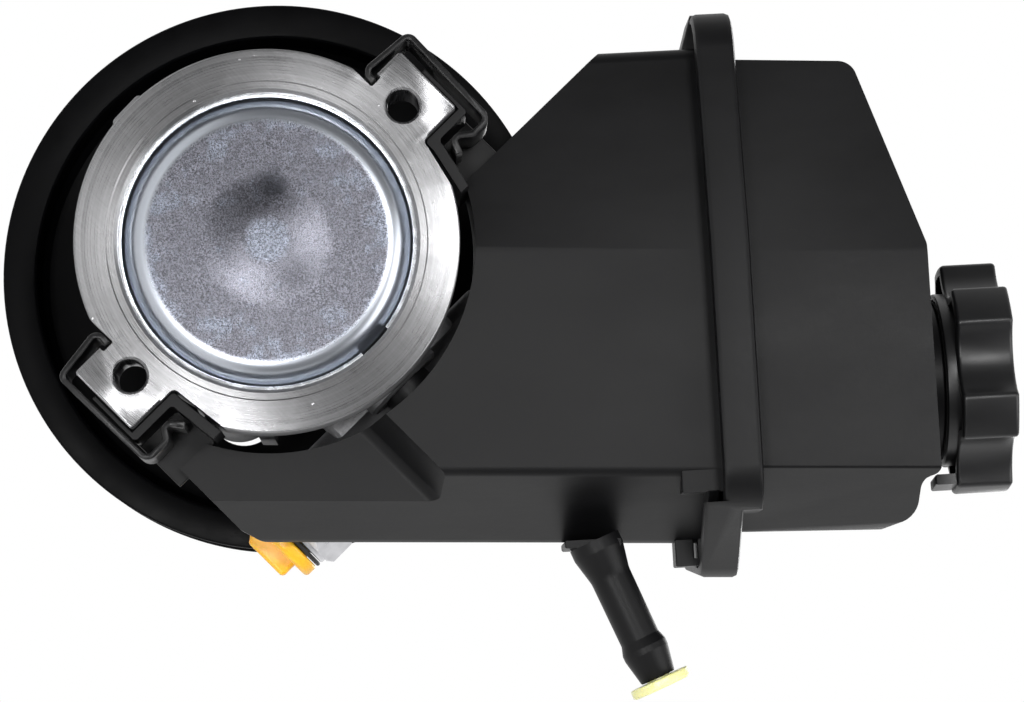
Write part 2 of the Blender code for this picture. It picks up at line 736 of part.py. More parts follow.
def casting_ribs():
    """The gate stub on the ring and the stiffening ribs in front of it."""
    half = GATE_BUMP_WIDTH / 2
    root = RING_RADIUS - TAPER_LONG
    stub = prism("stub", [(root, -half - TAPER), (RING_RADIUS + GATE_BUMP_HEIGHT, -half),
                          (RING_RADIUS + GATE_BUMP_HEIGHT, half), (root, half + TAPER_LONG)],
                 REAR_FACE + RING_EDGE, REAR_FACE + RING_THICKNESS * 0.8,
                 SHAFT_PLACE @ Matrix.Rotation(GATE_BUMP_ANGLE, 4, "Z"))
    made = [stub]
    half = CASTING_RIB_THICKNESS / 2
    for degrees in CASTING_RIB_DEGREES:
        made.append(block("rib", (BODY_RADIUS - TAPER_LONG, -half, REAR_FACE + RING_THICKNESS - TAPER_DEEP),
                          (BODY_RADIUS + CASTING_RIB_REACH, half, -CASTING_RIB_FRONT),
                          SHAFT_PLACE @ Matrix.Rotation(math.radians(degrees), 4, "Z")))
    return made


def mounting_bosses():
    made = []
    for x, y in boss_spots():
        made.append(turned("boss", [
            (-BOSS_ROOT, 0), (-BOSS_ROOT, BOSS_RADIUS - TAPER_DEEP),
            (-BOSS_ROOT + BOSS_ROOT_TAPER, BOSS_RADIUS), (-CHAMFER_SMALL, BOSS_RADIUS),
            (0, BOSS_RADIUS - CHAMFER_SMALL), (0, 0)],
            SHAFT_PLACE @ Matrix.Translation((x, y, 0)), sides=SMALL_ROUND, tube=False))
    return made


def port_bosses():
    """The valve's long boss with the web that ties it to the body, and the inlet's boss."""
    web = block("web", (CHAMBER_RADIUS + TAPER_LONG, -VALVE_WEB_HALF_LENGTH, -VALVE_WEB_HALF_DEPTH),
                (VALVE_OFFSET, VALVE_WEB_HALF_LENGTH, VALVE_WEB_HALF_DEPTH - TAPER_DEEP),
                place_along(-FACE_NORMAL * VALVE_DEPTH, FACE_NORMAL, SIDE_WAY))
    boss = turned("valve_boss", [
        (-VALVE_BOSS_BLIND_END, 0), (-VALVE_BOSS_BLIND_END, VALVE_BOSS_RADIUS - TAPER_LONG),
        (-VALVE_BOSS_BLIND_END + TAPER_LONG, VALVE_BOSS_RADIUS),
        (VALVE_BOSS_OUTER_END - CHAMFER, VALVE_BOSS_RADIUS),
        (VALVE_BOSS_OUTER_END, VALVE_BOSS_RADIUS - CHAMFER), (VALVE_BOSS_OUTER_END, 0)],
        valve_place(), sides=MEDIUM_ROUND, tube=False)
    inlet = turned("inlet_boss", [
        (CHAMBER_RADIUS, 0), (CHAMBER_RADIUS, INLET_BOSS_RADIUS),
        (INLET_BOSS_REACH, INLET_BOSS_RADIUS), (INLET_BOSS_REACH, 0)],
        inlet_place(), sides=SMALL_ROUND, tube=False)
    return [web, boss, inlet]


def main_bore():
    """Everything bored on the shaft's axis, from the rear face through to the seal."""
    seal_middle = REAR_FACE + COVER_SEAL_DEPTH
    seal_half = COVER_SEAL_SECTION + SEAT_GAP
    seal_floor = COVER_EDGE_RADIUS + 2 * COVER_SEAL_SECTION + 2 * SEAT_GAP
    ring_back = REAR_FACE + WIRE_RING_DEPTH - SEAT_GAP
    ring_front = REAR_FACE + WIRE_RING_DEPTH + WIRE_RING_THICKNESS + SEAT_GAP
    ring_floor = WIRE_RING_OUTER_RADIUS + SEAT_GAP
    bearing = SHAFT_RADIUS + BEARING_WALL + 2 * SEAT_GAP
    seal_seat = SEAL_FRONT - SEAL_LENGTH - SEAT_GAP
    return turned("bore", [
        (REAR_FACE - OVERRUN, 0),
        (REAR_FACE - OVERRUN, RING_STEP_RADIUS + RING_STEP_DEPTH),
        (REAR_FACE, RING_STEP_RADIUS + RING_STEP_DEPTH),
        (REAR_FACE + RING_STEP_DEPTH, RING_STEP_RADIUS),
        (REAR_FACE + RING_STEP_DEPTH, COVER_BORE_RADIUS + BORE_CHAMFER),
        (REAR_FACE + RING_STEP_DEPTH + BORE_CHAMFER, COVER_BORE_RADIUS),
        (ring_back, COVER_BORE_RADIUS), (ring_back, ring_floor),
        (ring_front, ring_floor), (ring_front, COVER_BORE_RADIUS),
        (seal_middle - seal_half, COVER_BORE_RADIUS), (seal_middle - seal_half, seal_floor),
        (seal_middle + seal_half, seal_floor), (seal_middle + seal_half, COVER_BORE_RADIUS),
        (BORE_ENTRY, COVER_BORE_RADIUS),
        (BORE_ENTRY, CHAMBER_RADIUS), (-CHAMBER_FLOOR, CHAMBER_RADIUS),
        (-CHAMBER_FLOOR, bearing), (seal_seat, bearing),
        (seal_seat, SEAL_RADIUS + SEAT_GAP), (NOSE_LENGTH + OVERRUN, SEAL_RADIUS + SEAT_GAP),
        (NOSE_LENGTH + OVERRUN, 0)], SHAFT_PLACE, tube=False)


def threaded_holes():
    """The holes in the ears and the front bosses, and the dowels' holes."""
    made = []
    for side in (UPPER, LOWER):
        x, y = from_ear(side, EAR_HOLE_CIRCLE, 0)
        made.append(turned("hole", [
            (REAR_FACE - OVERRUN, 0),
            (REAR_FACE - OVERRUN, EAR_HOLE_RADIUS + EAR_HOLE_CHAMFER + OVERRUN),
            (REAR_FACE + EAR_HOLE_CHAMFER, EAR_HOLE_RADIUS),
            (REAR_FACE + EAR_THICKNESS + OVERRUN, EAR_HOLE_RADIUS),
            (REAR_FACE + EAR_THICKNESS + OVERRUN, 0)],
            SHAFT_PLACE @ Matrix.Translation((x, y, 0)), sides=SMALL_ROUND, tube=False))
        x, y = from_ear(side, DOWEL_CIRCLE, 0)
        made.append(turned("hole", [
            (-CHAMBER_FLOOR - OVERRUN, 0), (-CHAMBER_FLOOR - OVERRUN, DOWEL_RADIUS + SEAT_GAP),
            (-CHAMBER_FLOOR + DOWEL_DEPTH, DOWEL_RADIUS + SEAT_GAP),
            (-CHAMBER_FLOOR + DOWEL_DEPTH, 0)],
            SHAFT_PLACE @ Matrix.Translation((x, y, 0)), sides=HOLE_ROUND, tube=False))
    for x, y in boss_spots():
        made.append(turned("hole", [
            (-BOSS_HOLE_DEPTH - TAPER, 0), (-BOSS_HOLE_DEPTH, BOSS_HOLE_RADIUS),
            (OVERRUN, BOSS_HOLE_RADIUS), (OVERRUN, 0)],
            SHAFT_PLACE @ Matrix.Translation((x, y, 0)), sides=SMALL_ROUND, tube=False))
    return made


def port_bores():
    """The valve's stepped bore and the inlet port."""
    shank = FITTING_SHANK_RADIUS + SEAT_GAP
    mouth = FITTING_SHANK_RADIUS + 2 * FITTING_RING_SECTION
    shank_end = VALVE_BOSS_OUTER_END - FITTING_SHANK_LENGTH - SEAT_GAP
    mouth_start = VALVE_BOSS_OUTER_END - 2.6 * FITTING_RING_SECTION
    bore = turned("bore", [
        (-VALVE_BORE_BOTTOM - TAPER_DEEP, 0), (-VALVE_BORE_BOTTOM, VALVE_BORE_RADIUS),
        (shank_end, VALVE_BORE_RADIUS), (shank_end, shank), (mouth_start, shank),
        (mouth_start, mouth), (VALVE_BOSS_OUTER_END + OVERRUN, mouth),
        (VALVE_BOSS_OUTER_END + OVERRUN, 0)], valve_place(), sides=MEDIUM_ROUND, tube=False)
    port = turned("port", [
        (CHAMBER_RADIUS - TAPER_DEEP, 0), (CHAMBER_RADIUS - TAPER_DEEP, INLET_PORT_RADIUS),
        (INLET_BOSS_REACH + OVERRUN, INLET_PORT_RADIUS), (INLET_BOSS_REACH + OVERRUN, 0)],
        inlet_place(), sides=SMALL_ROUND, tube=False)
    return [bore, port]


def make_end_cover(finish):
    """The pressed steel cover: a plateau with a rounded shoulder over a thick edge."""
    slope = (COVER_RIM_FACE_DEPTH - COVER_TOP_DEPTH)
    shoulder = [(PLATEAU_FACE + COVER_SHOULDER_RADIUS * (1 - math.cos(a)),
                 COVER_PLATEAU_RADIUS + COVER_SHOULDER_RADIUS * math.sin(a))
                for a in [math.radians(15 * step) for step in range(5)]]
    inner_face = PLATEAU_FACE + COVER_WALL
    profile = [
        (PLATEAU_FACE - COVER_CONE_HEIGHT, 0),
        (PLATEAU_FACE - COVER_CONE_HEIGHT, COVER_CENTRE_RADIUS),
        (PLATEAU_FACE - COVER_CONE_HEIGHT * 0.45, COVER_CONE_RADIUS * 0.62),
        (PLATEAU_FACE - COVER_CONE_HEIGHT * 0.1, COVER_CONE_RADIUS),
        (PLATEAU_FACE, COVER_CONE_RADIUS + TAPER_DEEP),
        *shoulder,
        (RIM_FACE - slope * COVER_RIM_FALL, COVER_EDGE_RADIUS - COVER_RIM_WIDTH),
        (RIM_FACE, COVER_EDGE_RADIUS - CHAMFER_LIGHT),
        (RIM_FACE + CHAMFER_LIGHT, COVER_EDGE_RADIUS),
        (RIM_FACE + COVER_EDGE_LENGTH, COVER_EDGE_RADIUS),
        (RIM_FACE + COVER_EDGE_LENGTH, COVER_PLATEAU_RADIUS),
        (inner_face, COVER_PLATEAU_RADIUS - TAPER_DEEP),
        (inner_face, 0),
    ]
    return turned("end_cover", profile, SHAFT_PLACE, finish, tube=False)


def make_wire_ring(finish):
    """The split ring that holds the end cover, with its gap low towards the reservoir."""
    near = REAR_FACE + WIRE_RING_DEPTH
    far = near + WIRE_RING_THICKNESS
    edge = WIRE_RING_THICKNESS * 0.3
    profile = [(near, WIRE_RING_INNER_RADIUS + edge), (near + edge, WIRE_RING_INNER_RADIUS),
               (far, WIRE_RING_INNER_RADIUS), (far, WIRE_RING_OUTER_RADIUS),
               (near, WIRE_RING_OUTER_RADIUS)]
    return turned("end_cover_retaining_ring", profile, SHAFT_PLACE, finish, LARGE_ROUND, True,
                  WIRE_RING_GAP / 2 - WIRE_RING_GAP_ANGLE, 2 * math.pi - WIRE_RING_GAP)


def make_shaft(finish):
    groove = SHAFT_RADIUS - SHAFT_RING_GROOVE
    near = rotor_ring_front() + SEAT_GAP
    far = near - SHAFT_RING_GROOVE - 2 * SEAT_GAP
    return turned("drive_shaft", [
        (-SHAFT_TAIL, 0), (-SHAFT_TAIL, SHAFT_RADIUS - SHAFT_CHAMFER),
        (-SHAFT_TAIL + SHAFT_CHAMFER / 2, SHAFT_RADIUS - SHAFT_CHAMFER / 2),
        (far, SHAFT_RADIUS - SHAFT_CHAMFER / 2), (far, groove), (near, groove),
        (near, SHAFT_RADIUS - SHAFT_CHAMFER / 2), (-CHAMBER_FLOOR, SHAFT_RADIUS - SHAFT_CHAMFER / 2),
        (-CHAMBER_FLOOR + SHAFT_CHAMFER / 2, SHAFT_RADIUS),
        (SHAFT_NOSE - SHAFT_CHAMFER, SHAFT_RADIUS), (SHAFT_NOSE, SHAFT_RADIUS - SHAFT_CHAMFER),
        (SHAFT_NOSE, SHAFT_TAP_RADIUS), (SHAFT_NOSE - SHAFT_TAP_DEPTH, SHAFT_TAP_RADIUS),
        (SHAFT_NOSE - SHAFT_TAP_DEPTH - TAPER, 0)], SHAFT_PLACE, finish, sides=MEDIUM_ROUND,
        tube=False)


def rotor_front():
    return CAM_FRONT - (CAM_RING_WIDTH - ROTOR_WIDTH) / 2


def rotor_ring_front():
    return rotor_front() - ROTOR_WIDTH - SEAT_GAP


def make_bearing(finish):
    inner = SHAFT_RADIUS + SEAT_GAP
    outer = SHAFT_RADIUS + BEARING_WALL + SEAT_GAP
    front = -BEARING_FRONT
    return turned("shaft_bearing", [
        (front - BEARING_LENGTH, inner), (front - BEARING_LENGTH, outer), (front, outer),
        (front, inner)], SHAFT_PLACE, finish, sides=MEDIUM_ROUND)


def make_seal(finish):
    """The lip seal: a cased disc whose lip leans on the shaft."""
    back = SEAL_FRONT - SEAL_LENGTH
    lip = SHAFT_RADIUS + SEAT_GAP
    case = SEAL_RADIUS - SEAL_CASE_WALL
    return turned("shaft_seal", [
        (back, case), (back, SEAL_RADIUS), (SEAL_FRONT, SEAL_RADIUS),
        (SEAL_FRONT, SHAFT_RADIUS + SEAL_LIP_LENGTH), (SEAL_FRONT - SEAL_LIP_LENGTH / 2, lip),
        (SEAL_FRONT - SEAL_LIP_LENGTH, lip), (SEAL_FRONT - SEAL_LIP_LENGTH * 0.7, case)],
        SHAFT_PLACE, finish, sides=MEDIUM_ROUND)


def make_pulley(finish):
    """The dished pulley: ribbed belt track, web, hub and the groove for a puller."""
    rear = PULLEY_REAR
    front = PULLEY_REAR + PULLEY_WIDTH
    track_rear = rear + PULLEY_FLANGE
    pitch = (PULLEY_WIDTH - 2 * PULLEY_FLANGE) / PULLEY_GROOVES
    crest = PULLEY_BELT_RADIUS
    floor = PULLEY_BELT_RADIUS - PULLEY_GROOVE_DEPTH
    inner = floor - PULLEY_RIM_WALL
    profile = [(rear, inner), (rear, PULLEY_RADIUS - CHAMFER_SLIM), (rear + CHAMFER_SLIM, PULLEY_RADIUS),
               (track_rear - CHAMFER_THIN, PULLEY_RADIUS)]
    for number in range(PULLEY_GROOVES):
        start = track_rear + number * pitch
        profile += [(start, crest), (start + pitch / 2, floor)]
    web_front = front - PULLEY_WEB_FRONT
    web_back = web_front - PULLEY_WEB_THICKNESS
    lip_back = PULLEY_HUB_FRONT - PULLEY_PULLER_LIP
    groove_back = lip_back - PULLEY_PULLER_GROOVE_WIDTH
    groove = PULLEY_HUB_RADIUS - PULLEY_PULLER_GROOVE_DEPTH
    bore = SHAFT_RADIUS + SEAT_GAP
    profile += [
        (front - PULLEY_FLANGE, crest), (front - PULLEY_FLANGE + CHAMFER_THIN, PULLEY_RADIUS),
        (front - CHAMFER_SLIM, PULLEY_RADIUS), (front, PULLEY_RADIUS - CHAMFER_SLIM),
        (front, inner + CHAMFER), (web_front + TAPER_LONG, inner), (web_front, inner - TAPER_DEEP),
        (web_front, PULLEY_HUB_RADIUS + TAPER), (web_front + TAPER, PULLEY_HUB_RADIUS),
        (groove_back, PULLEY_HUB_RADIUS), (groove_back, groove), (lip_back, groove),
        (lip_back, PULLEY_HUB_RADIUS), (PULLEY_HUB_FRONT, PULLEY_HUB_RADIUS),
        (PULLEY_HUB_FRONT, bore), (PULLEY_HUB_REAR, bore), (PULLEY_HUB_REAR, PULLEY_HUB_RADIUS),
        (web_back - TAPER, PULLEY_HUB_RADIUS), (web_back, PULLEY_HUB_RADIUS + TAPER),
        (web_back, inner - TAPER_DEEP), (web_back - TAPER_DEEP, inner),
    ]
    pulley = turned("pulley", profile, SHAFT_PLACE, finish)
    windows = [turned("window", [
        (web_back - OVERRUN, 0), (web_back - OVERRUN, PULLEY_WINDOW_RADIUS),
        (web_front + OVERRUN, PULLEY_WINDOW_RADIUS), (web_front + OVERRUN, 0)],
        SHAFT_PLACE @ Matrix.Translation((x, y, 0)), sides=SMALL_ROUND, tube=False)
        for x, y in boss_spots()]
    return cut(pulley, *windows)


def make_plate(name, back, front, bore, finish):
    """A port plate with four kidney ports and the two dowel holes."""
    plate = turned(name, [
        (back, bore), (back, PLATE_RADIUS - CHAMFER_SMALL), (back + CHAMFER_SMALL, PLATE_RADIUS),
        (front - CHAMFER_SMALL, PLATE_RADIUS), (front, PLATE_RADIUS - CHAMFER_SMALL), (front, bore)],
        SHAFT_PLACE, finish, sides=MEDIUM_ROUND)
    ports = [kidney("port", EAR_ANGLE + (number + 0.5) * math.pi / 2, back - OVERRUN,
                    front + OVERRUN) for number in range(4)]
    return cut(plate, *ports, *dowel_holes(back, front))


def dowel_holes(back, front):
    made = []
    for side in (UPPER, LOWER):
        x, y = from_ear(side, DOWEL_CIRCLE, 0)
        made.append(turned("hole", [
            (back - OVERRUN, 0), (back - OVERRUN, DOWEL_RADIUS + SEAT_GAP),
            (front + OVERRUN, DOWEL_RADIUS + SEAT_GAP), (front + OVERRUN, 0)],
            SHAFT_PLACE @ Matrix.Translation((x, y, 0)), sides=HOLE_ROUND, tube=False))
    return made


def make_pressure_plate(finish):
    """The rear port plate, which also carries a seal round its edge."""
    plate = make_plate("pressure_plate", PRESSURE_BACK, PRESSURE_FRONT, PRESSURE_PLATE_BORE,
                       finish)
    middle = (PRESSURE_BACK + PRESSURE_FRONT) / 2
    floor = CHAMBER_RADIUS - 2 * PLATE_RING_SECTION - 2 * SEAT_GAP
    half = PLATE_GROOVE_HALF_WIDTH
    groove = turned("groove", [
        (middle - half, floor), (middle - half, CHAMBER_RADIUS),
        (middle + half, CHAMBER_RADIUS), (middle + half, floor)],
        SHAFT_PLACE, sides=MEDIUM_ROUND)
    return cut(plate, groove)


def make_cam_ring(finish):
    """The pump ring: round outside, with an oval cam bore that works the vanes twice a turn."""
    ring = turned("pump_ring", [(CAM_BACK, 0), (CAM_BACK, PLATE_RADIUS),
                                (CAM_FRONT, PLATE_RADIUS), (CAM_FRONT, 0)],
                  SHAFT_PLACE, finish, sides=MEDIUM_ROUND, tube=False)
    rise = CAM_MAJOR_RADIUS - CAM_MINOR_RADIUS
    outline = []
    for step in range(LARGE_ROUND):
        angle = 2 * math.pi * step / LARGE_ROUND
        radius = CAM_MINOR_RADIUS + rise * (0.5 - 0.5 * math.cos(2 * (angle - EAR_ANGLE)))
        outline.append((radius * math.cos(angle), radius * math.sin(angle)))
    cam = prism("cam", outline, CAM_BACK - OVERRUN, CAM_FRONT + OVERRUN, SHAFT_PLACE)
    return cut(ring, cam, *dowel_holes(CAM_BACK, CAM_FRONT))


def vane_root():
    return CAM_MINOR_RADIUS - SEAT_GAP - VANE_HEIGHT


def make_rotor(finish):
    front = rotor_front()
    back = front - ROTOR_WIDTH
    bore = SHAFT_RADIUS - SHAFT_CHAMFER / 2 + SEAT_GAP
    rotor = turned("rotor", [(back, bore), (back, ROTOR_RADIUS), (front, ROTOR_RADIUS),
                             (front, bore)], SHAFT_PLACE, finish, sides=4 * ROTOR_SLOTS)
    half = VANE_THICKNESS / 2 + SEAT_GAP
    slots = [block("slot", (vane_root() - SEAT_GAP, -half, back - OVERRUN),
                   (ROTOR_RADIUS + OVERRUN, half, front + OVERRUN), spin) for spin in slot_places()]
    return cut(rotor, *slots)


def slot_places():
    return [SHAFT_PLACE @ Matrix.Rotation(2 * math.pi * number / ROTOR_SLOTS, 4, "Z")
            for number in range(ROTOR_SLOTS)]


def make_vanes(finish):
    """Ten flat vanes with round tips, drawn in to the cam's small radius."""
    front = rotor_front()
    back = front - ROTOR_WIDTH
    half = VANE_THICKNESS / 2
    root = vane_root()
    tip = root + VANE_HEIGHT
    outline = [(root, -half), (tip - half * 0.6, -half), (tip, -half * 0.4), (tip, half * 0.4),
               (tip - half * 0.6, half), (root, half)]
    for number, spin in enumerate(slot_places()):
        prism("vane_%02d" % (number + 1), outline, back, front, spin, finish)


def make_rotor_ring(finish):
    """The open ring that keeps the rotor on the shaft."""
    front = rotor_ring_front()
    back = front - SHAFT_RING_GROOVE
    inner = SHAFT_RADIUS - SHAFT_RING_GROOVE + SEAT_GAP
    outer = PRESSURE_PLATE_BORE - ROTOR_RING_INSET
    profile = [(back, inner), (front, inner), (front, outer), (back, outer)]
    return turned("rotor_retaining_ring", profile, SHAFT_PLACE, finish, 20, True,
                  ROTOR_RING_GAP / 2, 2 * math.pi - ROTOR_RING_GAP)


def make_dowels(finish):
    start = PRESSURE_BACK
    end = -CHAMBER_FLOOR + DOWEL_DEPTH - SEAT_GAP
    for number, side in enumerate((UPPER, LOWER)):
        x, y = from_ear(side, DOWEL_CIRCLE, 0)
        turned("dowel_pin_%d" % (number + 1), [
            (start, 0), (start, DOWEL_RADIUS - CHAMFER_FINE), (start + CHAMFER_FINE, DOWEL_RADIUS),
            (end - CHAMFER_FINE, DOWEL_RADIUS), (end, DOWEL_RADIUS - CHAMFER_FINE), (end, 0)],
            SHAFT_PLACE @ Matrix.Translation((x, y, 0)), finish, sides=HOLE_ROUND, tube=False)


def make_plate_spring(finish):
    wire = PLATE_SPRING_WIRE
    low = PRESSURE_BACK - SEAT_GAP - wire
    high = PLATEAU_FACE + COVER_WALL + SEAT_GAP + wire
    return coil("pressure_plate_spring", PLATE_SPRING_RADII, wire, PLATE_SPRING_TURNS, low, high,
                SHAFT_PLACE, finish)


def spool_top():
    return VALVE_BOSS_OUTER_END - FITTING_SHANK_LENGTH - SEAT_GAP


def make_spool(finish):
    """The flow control valve: a grooved spool with a reduced nose."""
    radius = VALVE_BORE_RADIUS - RUNNING_GAP
    top = spool_top()
    low = top - SPOOL_LENGTH
    neck = radius - SPOOL_GROOVE_DEPTH
    return turned("flow_control_valve", [
        (low, 0), (low, radius), (low + SPOOL_LENGTH * 0.3, radius),
        (low + SPOOL_LENGTH * 0.36, neck), (low + SPOOL_LENGTH * 0.54, neck),
        (low + SPOOL_LENGTH * 0.6, radius), (top - SPOOL_LENGTH * 0.14, radius),
        (top - SPOOL_LENGTH * 0.14, radius * 0.62), (top, radius * 0.62), (top, 0)],
        valve_place(), finish, sides=SMALL_ROUND, tube=False)


def make_valve_spring(finish):
    wire = VALVE_SPRING_WIRE
    low = -VALVE_BORE_BOTTOM + wire
    high = spool_top() - SPOOL_LENGTH - SEAT_GAP - wire
    radius = VALVE_BORE_RADIUS - VALVE_SPRING_INSET
    return coil("flow_control_spring", (radius, radius), wire, VALVE_SPRING_TURNS, low, high,
                valve_place(), finish)


def hexagon(flats):
    corner = flats / math.sqrt(3)
    return [(corner * math.cos(math.radians(60 * n)), corner * math.sin(math.radians(60 * n)))
            for n in range(6)]


def fitting_face():
    """Where the fitting's hexagon starts, just outside the valve boss."""
    return VALVE_BOSS_OUTER_END + SEAT_GAP


def fitting_end():
    return fitting_face() + FITTING_HEX_LENGTH + FITTING_COLLAR_LENGTH


def make_fitting(finish):
    face = fitting_face()
    start = VALVE_BOSS_OUTER_END - FITTING_SHANK_LENGTH
    hex_end = face + FITTING_HEX_LENGTH
    groove = FITTING_SHANK_RADIUS - FITTING_GROOVE_DEPTH
    shank = turned("outlet_fitting", [
        (start, 0), (start, FITTING_SHANK_RADIUS - CHAMFER),
        (start + CHAMFER, FITTING_SHANK_RADIUS),
        (VALVE_BOSS_OUTER_END - 2.8 * FITTING_RING_SECTION, FITTING_SHANK_RADIUS),
        (VALVE_BOSS_OUTER_END - 2.6 * FITTING_RING_SECTION, groove), (face, groove),
        (face + CHAMFER_SLIM, FITTING_COLLAR_RADIUS), (fitting_end() - CHAMFER_FINE, FITTING_COLLAR_RADIUS),
        (fitting_end(), FITTING_COLLAR_RADIUS - CHAMFER_FINE), (fitting_end(), 0)],
        valve_place(), finish, sides=MEDIUM_ROUND, tube=False)
    body = prism("hex", hexagon(FITTING_FLATS), face, hex_end, valve_place())
    chamfer = FITTING_FLATS / 2 - CHAMFER_HAIR
    corner = FITTING_FLATS / math.sqrt(3)
    keep(body, turned("round", [
        (face - OVERRUN, 0), (face - OVERRUN, corner + CHAMFER_THIN),
        (hex_end - CHAMFER_WIDE, corner + CHAMFER_THIN), (hex_end + CHAMFER_HAIR, chamfer),
        (hex_end + CHAMFER_HAIR, 0)], valve_place(), sides=MEDIUM_ROUND, tube=False))
    join(shank, body)
    floor = fitting_end() - FITTING_PORT_DEPTH
    bore = turned("bore", [
        (start - OVERRUN, 0), (start - OVERRUN, FITTING_ORIFICE_RADIUS),
        (floor - TAPER_LONG, FITTING_ORIFICE_RADIUS), (floor, FITTING_PORT_RADIUS),
        (fitting_end() + OVERRUN, FITTING_PORT_RADIUS), (fitting_end() + OVERRUN, 0)],
        valve_place(), sides=SMALL_ROUND, tube=False)
    return cut(shank, bore)


def make_fitting_ring(finish):
    along = VALVE_BOSS_OUTER_END - 1.2 * FITTING_RING_SECTION
    middle = FITTING_SHANK_RADIUS - FITTING_GROOVE_DEPTH + SEAT_GAP + FITTING_RING_SECTION
    return seal_ring("outlet_o_ring", middle, FITTING_RING_SECTION - FITTING_RING_PLAY,
                     valve_place() @ Matrix.Translation((0, 0, along)), finish, SMALL_ROUND)


def make_port_plug(finish, rubber):
    """The shipping plug: shank, disc and a grip that reaches further on one side."""
    gasket_low = fitting_end() + SEAT_GAP
    gasket_high = gasket_low + PORT_GASKET_THICKNESS
    disc_low = gasket_high + SEAT_GAP
    disc_high = disc_low + PORT_PLUG_THICKNESS
    shank = FITTING_PORT_RADIUS - SEAT_GAP
    tip = fitting_end() - PORT_PLUG_SHANK_LENGTH
    turned("port_plug_gasket", [
        (gasket_low, shank + SEAT_GAP), (gasket_low, FITTING_COLLAR_RADIUS),
        (gasket_high, FITTING_COLLAR_RADIUS), (gasket_high, shank + SEAT_GAP)],
        valve_place(), rubber, sides=SMALL_ROUND)
    edge = CHAMFER_MEDIUM
    plug = turned("pressure_port_plug", [
        (tip, 0), (tip, shank - CHAMFER), (tip + CHAMFER, shank), (disc_low, shank),
        (disc_low, PORT_PLUG_RADIUS - edge), (disc_low + edge, PORT_PLUG_RADIUS),
        (disc_high - edge, PORT_PLUG_RADIUS), (disc_high, PORT_PLUG_RADIUS - edge),
        (disc_high, 0)], valve_place(), finish, sides=SMALL_ROUND, tube=False)
    grip_top = disc_high + PORT_GRIP_HEIGHT
    half = PORT_GRIP_THICKNESS / 2
    outline = rounded([
        (-PORT_GRIP_LONG_END, disc_high - CHAMFER_WIDE), (-PORT_GRIP_LONG_END, disc_high + CHAMFER_WIDE),
        (-PORT_GRIP_LONG_END + PORT_GRIP_WING, disc_high + TAPER),
        (-PORT_GRIP_LONG_END + PORT_GRIP_WING + TAPER, grip_top), (PORT_GRIP_SHORT_END, grip_top),
        (PORT_GRIP_SHORT_END, disc_high - CHAMFER_WIDE)],
        [CHAMFER, CHAMFER, CHAMFER_WIDE, TAPER, TAPER, 0], steps=3)
    side = valve_place().to_3x3()
    lying = place_along(valve_place().translation, side.col[1], side.col[0])
    flip = [(x, -y) for x, y in outline]
    check = lying.to_3x3().col[1].dot(side.col[2])
    join(plug, prism("grip", outline if check > 0 else flip, -half, half, lying))
    return plug


def tank_section(z, grow=0.0):
    """The reservoir's section at a height, as (X, Y) points. Its lower side spreads
    towards the flange, because the mould opens that way."""
    shift = TANK_SPREAD * z
    corners = [(TANK_TOP_X, -TANK_TOP_REAR), (TANK_FACET_X + shift, -TANK_REAR),
               (TANK_BREAK_X + shift, -TANK_REAR), (TANK_BOTTOM_X + shift, -TANK_BAND_FRONT),
               (TANK_FRONT_BOTTOM_X + shift, TANK_FRONT), (TANK_FRONT_TOP_X, TANK_FRONT)]
    shares = [1, 0, 0.8, 1.6, 1.4, 1.4]
    radii = [max(TANK_CORNER * share + grow, TANK_CORNER / 4) if share else 0
             for share in shares]
    return rounded(grown(corners, grow), radii, steps=3)


def tank_prism(name, low, high, grow=0.0, finish=None):
    """A length of the reservoir between two heights, grown or shrunk all round."""
    rings = [[(x, y, z) for x, y in tank_section(z, grow)] for z in (low, high)]
    return lofted(name, rings, UPRIGHT, finish)


def tank_plan(shrink, top):
    """The lower half seen from the rear, as (X, Z) points: shoulder, hollow round the
    pump, arm under it and the long lower edge."""
    radius = TANK_PUMP_RADIUS + shrink
    shoulder = TANK_SHOULDER + shrink
    arm = ARM_REACH - shrink
    top_x = TANK_TOP_X - OVERRUN
    low_x = TANK_BOTTOM_X + 4 * OVERRUN

    def spot(side, out, across):
        x, y = from_ear(side, out, across)
        return x, -y

    points = [(low_x, top), (top_x, top)]
    out = (-top_x + SIDE_WAY.x * shoulder) / math.cos(EAR_ANGLE)
    points.append(spot(UPPER, out, shoulder))
    reach = math.sqrt(radius ** 2 - shoulder ** 2)
    angle = math.atan2(reach, shoulder)
    steps = 16
    for step in range(steps + 1):
        way = angle * (1 - 2 * step / steps)
        points.append(spot(UPPER, radius * math.sin(way), radius * math.cos(way)))
    points.append(spot(LOWER, arm, shoulder))
    corner_x = TANK_BOTTOM_X - ARM_CORNER_RISE - shrink
    near = (corner_x - math.cos(EAR_ANGLE) * arm) / SIDE_WAY.x
    corner = spot(LOWER, arm, near)
    end_z = corner[1] + ARM_CORNER_RUN
    points += [corner, (corner_x + ARM_CORNER_RISE * (1 - ARM_CORNER_BEND ** 2),
                        corner[1] + ARM_CORNER_RUN * ARM_CORNER_BEND),
               (corner_x + ARM_CORNER_RISE, end_z), (low_x, end_z)]
    return points


